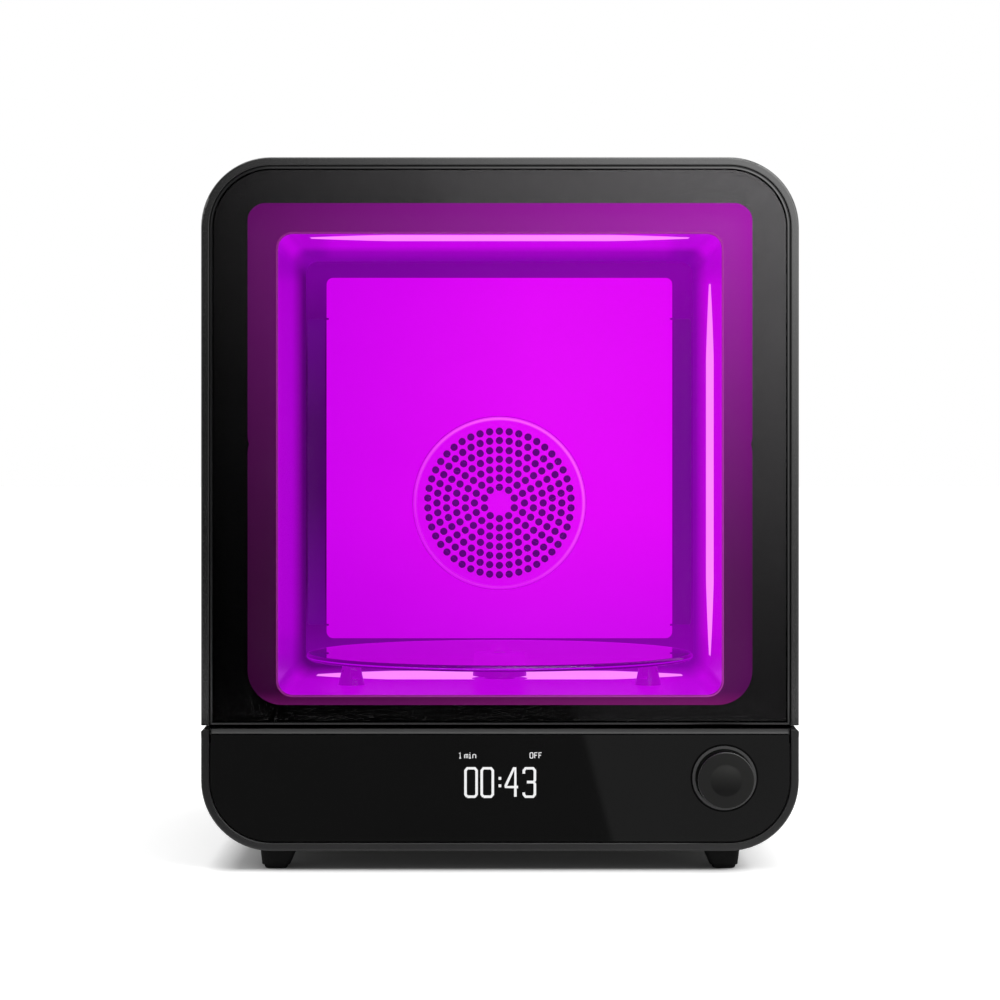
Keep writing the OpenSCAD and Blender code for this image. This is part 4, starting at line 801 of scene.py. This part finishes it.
points, faces = loft(strip_loops)
finish_piece("deck_strip", facing_out(new_mesh(points, faces, deck_satin)), "cabinet", "rim_plastic",
    smooth=False)

# %% [markdown]
# ## Floor of the gap round the pane
# The gap between rim and pane is about a millimetre wide. Its floor is the same gloss black as the
# border, so it takes the same sheen from the card. It is a flat ribbon swept along the gap.

# %% Gap ribbon
GAP_MIDDLE = 0.75 * MM
gap_path = rim_path(RIM_FACE + GAP_MIDDLE, door_end + 0.3 * MM)
ribbon_tree, ribbon_names = sweep_tree("gap_ribbon", border_print, 0)
grow("gap_ribbon", path_mesh(gap_path, front + 1.1 * MM, closed=False), ribbon_tree, ribbon_names,
    {"Half Width": 0.62 * MM, "Half Depth": 0.05 * MM}, "door", "border_print", smooth=False)

# %% [markdown]
# ## Bead round the mouth
# The flange ends in a narrow bead at the mouth of the chamber, whose glow paints a pale highlight all round.

# %% Mouth bead
liner_low, liner_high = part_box("chamber_liner")
WALL, BEAD, MOUTH_CORNER = 1.5 * MM, 0.4 * MM, 7 * MM
mouth = round_frame(liner_low.x + WALL - BEAD, liner_high.x - WALL + BEAD,
    liner_low.z + WALL - BEAD, liner_high.z - WALL + BEAD, MOUTH_CORNER + BEAD, 12)
bead_tree, bead_names = sweep_tree("mouth_bead", bead_plastic, 10)
grow("mouth_bead", path_mesh(mouth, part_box("front_flange")[0].y), bead_tree, bead_names,
    {"Half Width": BEAD, "Half Depth": BEAD}, "cabinet", "flange_plastic")

# %% [markdown]
# ## Door seal
# The seal is a hollow silicone bulb on a flat foot. A square bar would look hard, so the bulb is swept
# as an oval and the foot as a much flatter one behind it. The door squeezes the bulb by a hair.

# %% Seal
seal_low, seal_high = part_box("door_seal")
HALF, SEAL_CORNER = 1.7 * MM, 20 * MM
seal_path = round_frame(seal_low.x + HALF, seal_high.x - HALF, seal_low.z + HALF,
    seal_high.z - HALF, SEAL_CORNER - HALF, 16)
seal_tree, seal_names = sweep_tree("seal_bulb", seal_rubber, 16)
thick = seal_high.y - seal_low.y
grow("door_seal_bulb", path_mesh(seal_path, seal_low.y + thick / 2), seal_tree, seal_names,
    {"Half Width": 1.45 * MM, "Half Depth": thick / 2}, "cabinet", "seal_rubber", "door_seal")
grow("door_seal_foot", path_mesh(seal_path, seal_high.y - 0.4 * MM), seal_tree, seal_names,
    {"Half Width": HALF, "Half Depth": 0.4 * MM}, "cabinet", "seal_rubber", "door_seal")

# %% [markdown]
# ## Blades of the cooling fan
# Real fan blades are twisted, arched and thickest near their leading edge. One blade is computed as a
# grid of points on both of its sides. A Geometry Nodes tree sets copies of it round the axis, so the
# number of blades is one input.

# %% A ring of copies
def ring_tree(name, finish):
    """A mesh in, copies of it round the Y axis out. Inputs: Count, Centre."""
    tree, start, names = start_tree(name, Count="Int", Centre="Vector")
    row = add_node(tree, "GeometryNodeMeshLine", {"Count": start.outputs["Count"],
        "Start Location": start.outputs["Centre"], "Offset": grey(0)})
    step = arithmetic(tree, "DIVIDE", 2 * math.pi, start.outputs["Count"])
    turn = times(tree, add_node(tree, "GeometryNodeInputIndex").outputs[0], step)
    angles = add_node(tree, "ShaderNodeCombineXYZ", {"X": 0.0, "Y": turn, "Z": 0.0})
    spin = add_node(tree, "FunctionNodeEulerToRotation", {"Euler": angles.outputs[0]})
    copies = add_node(tree, "GeometryNodeInstanceOnPoints", {"Points": row.outputs[0],
        "Instance": start.outputs["Geometry"], "Rotation": spin.outputs[0]})
    end_tree(tree, copies.outputs[0], finish)
    return tree, names


# %% One blade
def blade_mesh(inner, outer, y0, y1, sweep_in, sweep_out, lean, thickness, across=8, along=10):
    """A twisted blade about the Y axis: radii, depths, turns at both radii in radians."""
    points, faces = [], []
    for side in (1, -1):
        for i in range(across + 1):
            u = i / across
            r = inner + (outer - inner) * u
            for j in range(along + 1):
                v = j / along
                arch = 0.16 * math.sin(math.pi * v)
                a = lean * u + (sweep_in + (sweep_out - sweep_in) * u) * (v - 0.5 + arch)
                t = thickness * math.sin(math.pi * min(1, v * 1.02) ** 0.7) * (1 - 0.4 * u)
                y = y0 + (y1 - y0) * v + side * t / 2
                points.append((r * math.sin(a), y, r * math.cos(a)))
    row = along + 1
    half = (across + 1) * row
    for i in range(across):
        for j in range(along):
            a, b, c, d = i * row + j, i * row + j + 1, (i + 1) * row + j + 1, (i + 1) * row + j
            faces += [(a, b, c, d), (half + d, half + c, half + b, half + a)]
    for i in (0, across):
        for j in range(along):
            a, b = i * row + j, i * row + j + 1
            faces.append((half + a, half + b, b, a) if i == 0 else (a, b, half + b, half + a))
    return facing_out(new_mesh(points, faces))


# %% Cooling fan
fan_low, fan_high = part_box("cooling_fan_rotor")
fan_x, fan_z = (fan_low.x + fan_high.x) / 2, (fan_low.z + fan_high.z) / 2
fan_tree, fan_names = ring_tree("fan_blades", fan_plastic)
grow("cooling_fan_blades", blade_mesh(12.0 * MM, 26.9 * MM, fan_low.y + 1.2 * MM,
    fan_high.y - 1.2 * MM, 0.62, 0.70, 0.30, 1.5 * MM), fan_tree, fan_names,
    {"Count": 7, "Centre": (fan_x, 0, fan_z)}, "cooling_rotor", "fan_plastic", "cooling_fan_rotor")
y0, y1, hub, bore = fan_low.y, fan_high.y, 12.4 * MM, 2.1 * MM
finish_piece("cooling_fan_hub", turned([(y0 + 1.2 * MM, bore), (y0 + 1.2 * MM, 3 * MM),
    (y0, 3.6 * MM), (y0, hub - 1.4 * MM), (y0 + 0.4 * MM, hub - 0.4 * MM), (y0 + 1.4 * MM, hub),
    (y1, hub), (y1, hub - 1 * MM), (y1 - 8 * MM, hub - 1 * MM), (y1 - 8 * MM, 4 * MM),
    (y1 - 1 * MM, 4 * MM), (y1 - 1 * MM, bore)], (fan_x, fan_z), fan_plastic),
    "cooling_rotor", "fan_plastic", "cooling_fan_rotor")

# %% [markdown]
# ## Knob
# The knob is a turned cap: a low dome in the middle of its face, a small round at the edge and a plain
# side that is painted black as shade, because the recess round it takes no light. The round at the edge is
# what shows as a thin bright line above. A flat black ring on the fascia paints the shadow round the
# outside of the bezel.

# %% Knob cap and the painted shade round its bezel
knob_low, knob_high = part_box("knob")
knob_mid = ((knob_low.x + knob_high.x) / 2, (knob_low.z + knob_high.z) / 2)
KNOB_R, DOME_R, DOME_H, KNOB_EDGE = 13.1 * MM, 7.2 * MM, 0.8 * MM, 0.55 * MM
face_y = knob_low.y + DOME_H
knob_profile = [(knob_low.y + DOME_H * (k / 8) ** 2, DOME_R * k / 8) for k in range(9)]
knob_profile += [(face_y, 7.5 * MM), (face_y, KNOB_R - KNOB_EDGE)]
knob_profile += [(face_y + KNOB_EDGE * (1 - math.cos(math.radians(a))),
    KNOB_R - KNOB_EDGE * (1 - math.sin(math.radians(a)))) for a in (15, 30, 45, 60, 75, 90)]
knob_profile += [(knob_high.y - 0.3 * MM, 13.2 * MM), (knob_high.y, 12.9 * MM), (knob_high.y, 6 * MM),
    (knob_high.y, 0)]
knob_cap = finish_piece("knob_cap", turned(knob_profile, knob_mid, knob_plastic, 96), "knob_assembly",
    "knob_plastic", "knob")
knob_cap.data.materials.append(knob_shaded_side)
knob_cap.data.materials.append(edge_gloss)
for face in knob_cap.data.polygons:
    if face.center.y > face_y + 0.75 * KNOB_EDGE:
        face.material_index = 1
    elif face.center.y > face_y + 0.02 * KNOB_EDGE and Vector((face.center.x - knob_mid[0],
            face.center.z - knob_mid[1])).length > DOME_R + 1 * MM:
        face.material_index = 2
fascia_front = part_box("fascia_panel")[0].y
# Painted shade: a flat black ring on the fascia round the bezel stands for the shadow in the gap.
finish_piece("bezel_shade_ring", turned([(fascia_front - 0.05 * MM, 14.75 * MM),
    (fascia_front - 0.05 * MM, 15.65 * MM), (fascia_front + 0.02 * MM, 15.75 * MM),
    (fascia_front + 0.02 * MM, 14.75 * MM)], knob_mid, knob_shaded_side, 96), "cabinet", "fascia_gloss")

# %% [markdown]
# ## Feet
# Each foot is moulded rubber: a tapered block whose inner side slants more, and under it a pad with
# softly rounded edges. It is skinned from rounded outlines, one above the other.

# %% Feet
def rounded_loop(x0, x1, y0, y1, r, z, steps=8):
    """A rounded rectangle at one height."""
    loop = []
    for cx, cy, start in ((x1 - r, y1 - r, 0), (x0 + r, y1 - r, 90), (x0 + r, y0 + r, 180),
            (x1 - r, y0 + r, 270)):
        for k in range(steps + 1):
            a = math.radians(start + 90 * k / steps)
            loop.append((cx + r * math.cos(a), cy + r * math.sin(a), z))
    return loop


feet_low, feet_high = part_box("feet")
foot_top = feet_high.z
FOOT_L = 24 * MM
PAD = [(1.5, 0.0), (1.0, 0.08), (0.55, 0.30), (0.2, 0.75), (0.0, 1.3), (0.0, 1.88)]
foot_points, foot_faces = [], []
for mirror in (1, -1):
    for y0 in (feet_low.y, feet_high.y - FOOT_L):
        shapes = [rounded_loop((98.9 + inset) * MM, (109.9 - inset) * MM, y0 + (2.5 + inset) * MM,
            y0 + FOOT_L - (2.5 + inset) * MM, 2 * MM, z * MM) for inset, z in PAD]
        for x0, x1, inset, z in ((98.1, 110.7, 1.7, 1.9 * MM), (97.85, 110.95, 1.5, 2.15 * MM),
                (94.9, 111.7, 0, 9.4 * MM), (94.9, 111.7, 0, foot_top)):
            shapes.append(rounded_loop(x0 * MM, x1 * MM, y0 + inset * MM, y0 + FOOT_L - inset * MM,
                3 * MM, z))
        points, faces = loft([[(mirror * x, y, z) for x, y, z in loop] for loop in shapes])
        base = len(foot_points)
        foot_points += points
        foot_faces += [tuple(base + i for i in face) for face in faces]
finish_piece("rubber_feet", facing_out(new_mesh(foot_points, foot_faces, foot_rubber)), "cabinet",
    "foot_rubber", "feet")

# %% [markdown]
# ## Digits of the timer
# The timer shows minutes and seconds in thin strokes with cut corners, as a small display draws them.
# Each stroke is a row of points. The sweep tree carries a flat bar along all of them, so one width serves
# every stroke. A digit is drawn on a field one unit wide and two units high, from the lower left.

# %% Digits
CUT = 0.16
DIGITS = {
    "0": [[(CUT, 0), (1 - CUT, 0), (1, CUT), (1, 2 - CUT), (1 - CUT, 2), (CUT, 2), (0, 2 - CUT),
        (0, CUT), (CUT, 0)]],
    "4": [[(0.86, 0), (0.86, 2), (0.72, 2), (0, 0.78), (0, 0.68), (1.1, 0.68)]],
    "3": [[(0, 1.62), (0, 2 - CUT), (CUT, 2), (1 - CUT, 2), (1, 2 - CUT), (1, 1.16), (0.88, 1.03),
        (1, 0.9), (1, CUT), (1 - CUT, 0), (CUT, 0), (0, CUT), (0, 0.3)], [(0.28, 1.03), (0.88, 1.03)]],
    ":": [[(0, 0.67), (0, 0.87)], [(0, 1.19), (0, 1.39)]],
}
SMALL = {
    "1": [[(0, 1.6), (0.3, 2), (0.3, 0)], [(0, 0), (0.6, 0)]],
    "m": [[(0, 0), (0, 1.2), (0.5, 1.4), (0.5, 0)], [(0.5, 1.2), (1, 1.4), (1, 0)]],
    "i": [[(0, 1.3), (0.3, 1.3), (0.3, 0)], [(0, 0), (0.6, 0)], [(0.3, 1.8), (0.3, 2)]],
    "n": [[(0, 0), (0, 1.2), (0.4, 1.4), (0.9, 1.2), (0.9, 0)]],
    "O": [[(CUT, 0), (0.9 - CUT, 0), (0.9, 0.3), (0.9, 1.7), (0.9 - CUT, 2), (CUT, 2), (0, 1.7),
        (0, 0.3), (CUT, 0)]],
    "F": [[(0, 0), (0, 2), (0.8, 2)], [(0, 1.05), (0.65, 1.05)]],
}


def stroke_mesh(letters, shapes, size):
    """Lays letters out: (letter, left, low) in metres. size is the width and half the height."""
    points, edges = [], []
    for letter, left, low in letters:
        for stroke in shapes[letter]:
            base = len(points)
            points += [(left + u * size[0], fascia_front - 0.02 * MM, low + v * size[1])
                for u, v in stroke]
            edges += [(base + k, base + k + 1) for k in range(len(stroke) - 1)]
    return new_mesh(points, [], None, edges)


digit_strokes, digit_names = sweep_tree("strokes", digit_light, 0)
PX = MM / 2.1594


def at_pixel(px, py):
    """The place on the fascia that the camera sees at a pixel of its picture."""
    return (px - 496) * PX - 0.00185, 0.19515 - (py - 450) * PX


TIME = (("0", 465.5), ("0", 481.7), (":", 499.9), ("4", 505.8), ("3", 523.8))
WORDS = (("1", 459.2), ("m", 464.5), ("i", 469.0), ("n", 472.8), ("O", 530.0), ("F", 534.7), ("F", 538.9))
for name, row, shapes, low_px, field, stroke in (
        ("timer_digits", TIME, DIGITS, 796.7, (11.1 * PX, 14.2 * PX), 1.32 * PX),
        ("timer_words", WORDS, SMALL, 758.1, (3.3 * PX, 2.7 * PX), 0.42 * PX)):
    letters = [(letter, *at_pixel(px, low_px)) for letter, px in row]
    grow(name, stroke_mesh(letters, shapes, field), digit_strokes, digit_names,
        {"Half Width": stroke, "Half Depth": 0.015 * MM}, "cabinet", "display", smooth=False)

# %% [markdown]
# ## Studio
# The floor is a large pale sheet. It scatters the light as any matt floor does, and adds a little for
# the camera only, so that it reads as white. That addition fades out next to the unit, and under it the
# sheet's colour is darker, a painted contact shadow.

# %% Floor
floor_finish, floor_tree, floor_shader = new_finish("studio_floor")


def outside(tree, middle_x, half_x, middle_y, half_y):
    """Distance from a rectangle under the unit, in metres."""
    parts = []
    for axis, middle, half in (("X", middle_x, half_x), ("Y", middle_y, half_y)):
        off = arithmetic(tree, "ABSOLUTE", arithmetic(tree, "SUBTRACT", place_along(tree, axis), middle))
        past = arithmetic(tree, "MAXIMUM", arithmetic(tree, "SUBTRACT", off, half), 0.0)
        parts.append(times(tree, past, past))
    return arithmetic(tree, "SQRT", plus(tree, *parts))


pale = blend_colours(floor_tree, cloudy(floor_tree, 3), grey(0.86), grey(0.88))
# Painted contact shadow: the floor's colour falls to 0.26 over a rectangle under the unit, back to full within
# 8 mm of its edge.
SHADED, KEPT_DIM = (0, 0.103, 0.006, 0.131), (-0.010, 0.112, 0.006, 0.136)
floor_past_painted_shadow = spread(floor_tree, outside(floor_tree, *SHADED), 0, 1, 0.0, 0.008)
floor_tree.links.new(blend_colours(floor_tree, floor_past_painted_shadow, grey(0.26), pale),
    floor_shader.inputs["Base Color"])
floor_shader.inputs["Roughness"].default_value = 0.9
floor_shader.inputs["Specular IOR Level"].default_value = 0.1
ray = add_node(floor_tree, "ShaderNodeLightPath")
clear = spread(floor_tree, outside(floor_tree, *KEPT_DIM), 0.03, 1, 0.0, 0.016)
lift = times(floor_tree, times(floor_tree, clear, 0.45),
    ray.outputs["Is Camera Ray"])
floor_shader.inputs["Emission Color"].default_value = (1, 1, 1, 1)
floor_tree.links.new(lift, floor_shader.inputs["Emission Strength"])
FLOOR_HALF = 14.0
floor_mesh = new_mesh([(-FLOOR_HALF, -FLOOR_HALF, 0), (FLOOR_HALF, -FLOOR_HALF, 0),
    (FLOOR_HALF, FLOOR_HALF, 0), (-FLOOR_HALF, FLOOR_HALF, 0)], [(0, 1, 2, 3)], floor_finish)
studio_floor = new_object("studio_floor", floor_mesh)

# %% [markdown]
# The world is white for the camera and for mirrors and glass, and a little weaker where it lights the
# unit, because the lamps add the rest.

# %% World
world = bpy.data.worlds.new("studio_world")
bpy.context.scene.world = world
world.use_nodes = True
sky = world.node_tree
background = sky.nodes["Background"]
background.inputs["Color"].default_value = (1, 1, 1, 1)
path = add_node(sky, "ShaderNodeLightPath")
seen = arithmetic(sky, "MAXIMUM", path.outputs["Is Camera Ray"], path.outputs["Is Glossy Ray"])
seen = arithmetic(sky, "MAXIMUM", seen, path.outputs["Is Transmission Ray"])
ROOM_LEVEL = 0.80
sky.links.new(spread(sky, seen, ROOM_LEVEL, 1.0, 0, 1), background.inputs["Strength"])

# %% [markdown]
# Three soft lamps stand in for the studio's boxes. The strongest hangs to the right, above and in front,
# and gives the lighter right side of the rim. One fills from the left, and one lights the top.

# %% Lamps
def soft_lamp(name, place, target, size, power):
    """A square lamp that faces a point. The camera doesn't see it."""
    data = bpy.data.lights.new(name, "AREA")
    data.shape = "SQUARE"
    data.size = size
    data.energy = power
    lamp = new_object(name, data)
    lamp.location = place
    lamp.rotation_euler = (Vector(target) - Vector(place)).to_track_quat("-Z", "Y").to_euler()
    lamp.visible_camera = False


MIDDLE = (0, 0, 0.16)
soft_lamp("key_box", (1.1, -1.3, 1.6), MIDDLE, 0.9, 14)
soft_lamp("fill_box", (-1.4, -1.2, 1.2), MIDDLE, 0.9, 3)
soft_lamp("top_box", (0.2, 0.1, 1.7), MIDDLE, 1.0, 8)

# %% [markdown]
# A flat, glossy door mirrors whatever stands in front of it. In the studio that is a dark card with a
# lit sheet behind its slanted edge, which gives the wide soft sheen on the upper right. The card shows
# in mirrors only: it takes no light from the unit and casts no shadow.

# %% Mirror sheets
def sheet_finish(name):
    """A material with an empty tree, for a sheet that only glows."""
    material = bpy.data.materials.new(name)
    material.use_nodes = True
    material.node_tree.nodes.clear()
    return material, material.node_tree


def mirror_sheet(name, finish, light, y, half, top):
    """An upright sheet across the studio that only mirrors and glass show."""
    tree = finish.node_tree
    glow = add_node(tree, "ShaderNodeEmission", {"Strength": light})
    add_node(tree, "ShaderNodeOutputMaterial", {"Surface": glow.outputs[0]})
    mesh = new_mesh([(-half, y, 0.001), (half, y, 0.001), (half, y, top), (-half, y, top)],
        [(0, 1, 2, 3)], finish)
    sheet = new_object(name, mesh)
    for ray_kind in ("camera", "diffuse", "volume_scatter", "shadow"):
        setattr(sheet, "visible_" + ray_kind, False)


# %% Card in front
card_finish, card_tree = sheet_finish("card_sheen")
card_x, card_z = place_along(card_tree, "X"), place_along(card_tree, "Z")
height = arithmetic(card_tree, "DIVIDE", arithmetic(card_tree, "SUBTRACT", card_z, 0.018), 0.354)
height = clamp(card_tree, height, 0.0, 1.15)
slant = plus(card_tree, card_x, times(card_tree, card_z, 0.271))
lit_side = spread(card_tree, slant, 0, 1, 0.053, 0.064)
right_rise = plus(card_tree, times(card_tree, arithmetic(card_tree, "POWER", height, 1.8), 1.52), 0.12)
right_share = clamp(card_tree, plus(card_tree, times(card_tree, card_x, 2.68), 0.564), 0.1, 1.1)
left_share = clamp(card_tree, plus(card_tree, times(card_tree, card_x, 1.94), 0.455), 0.02, 1)
left_rise = plus(card_tree, times(card_tree, arithmetic(card_tree, "POWER", height, 3), 1.64), 0.02)
right_light = times(card_tree, right_rise, right_share)
left_light = times(card_tree, left_rise, left_share)
sheen = add_node(card_tree, "ShaderNodeMix", {0: lit_side, 2: left_light, 3: right_light})
mirror_sheet("studio_card", card_finish, sheen.outputs[0], -0.75, 1.3, 1.5)

# %% [markdown]
# The base panel is a mirror too: from the camera's height it shows the floor in front of the unit. A low
# dark flag stands there in the studio, in two tones along the same slanted line.

# %% Low flag
flag_finish, flag_tree = sheet_finish("flag_sheen")
flag_slant = plus(flag_tree, place_along(flag_tree, "X"),
    times(flag_tree, place_along(flag_tree, "Z"), 0.27))
flag_light = spread(flag_tree, flag_slant, 0.12, 0.30, 0.0547, 0.0577)
mirror_sheet("studio_flag", flag_finish, flag_light, -0.20, 0.6, 0.060)
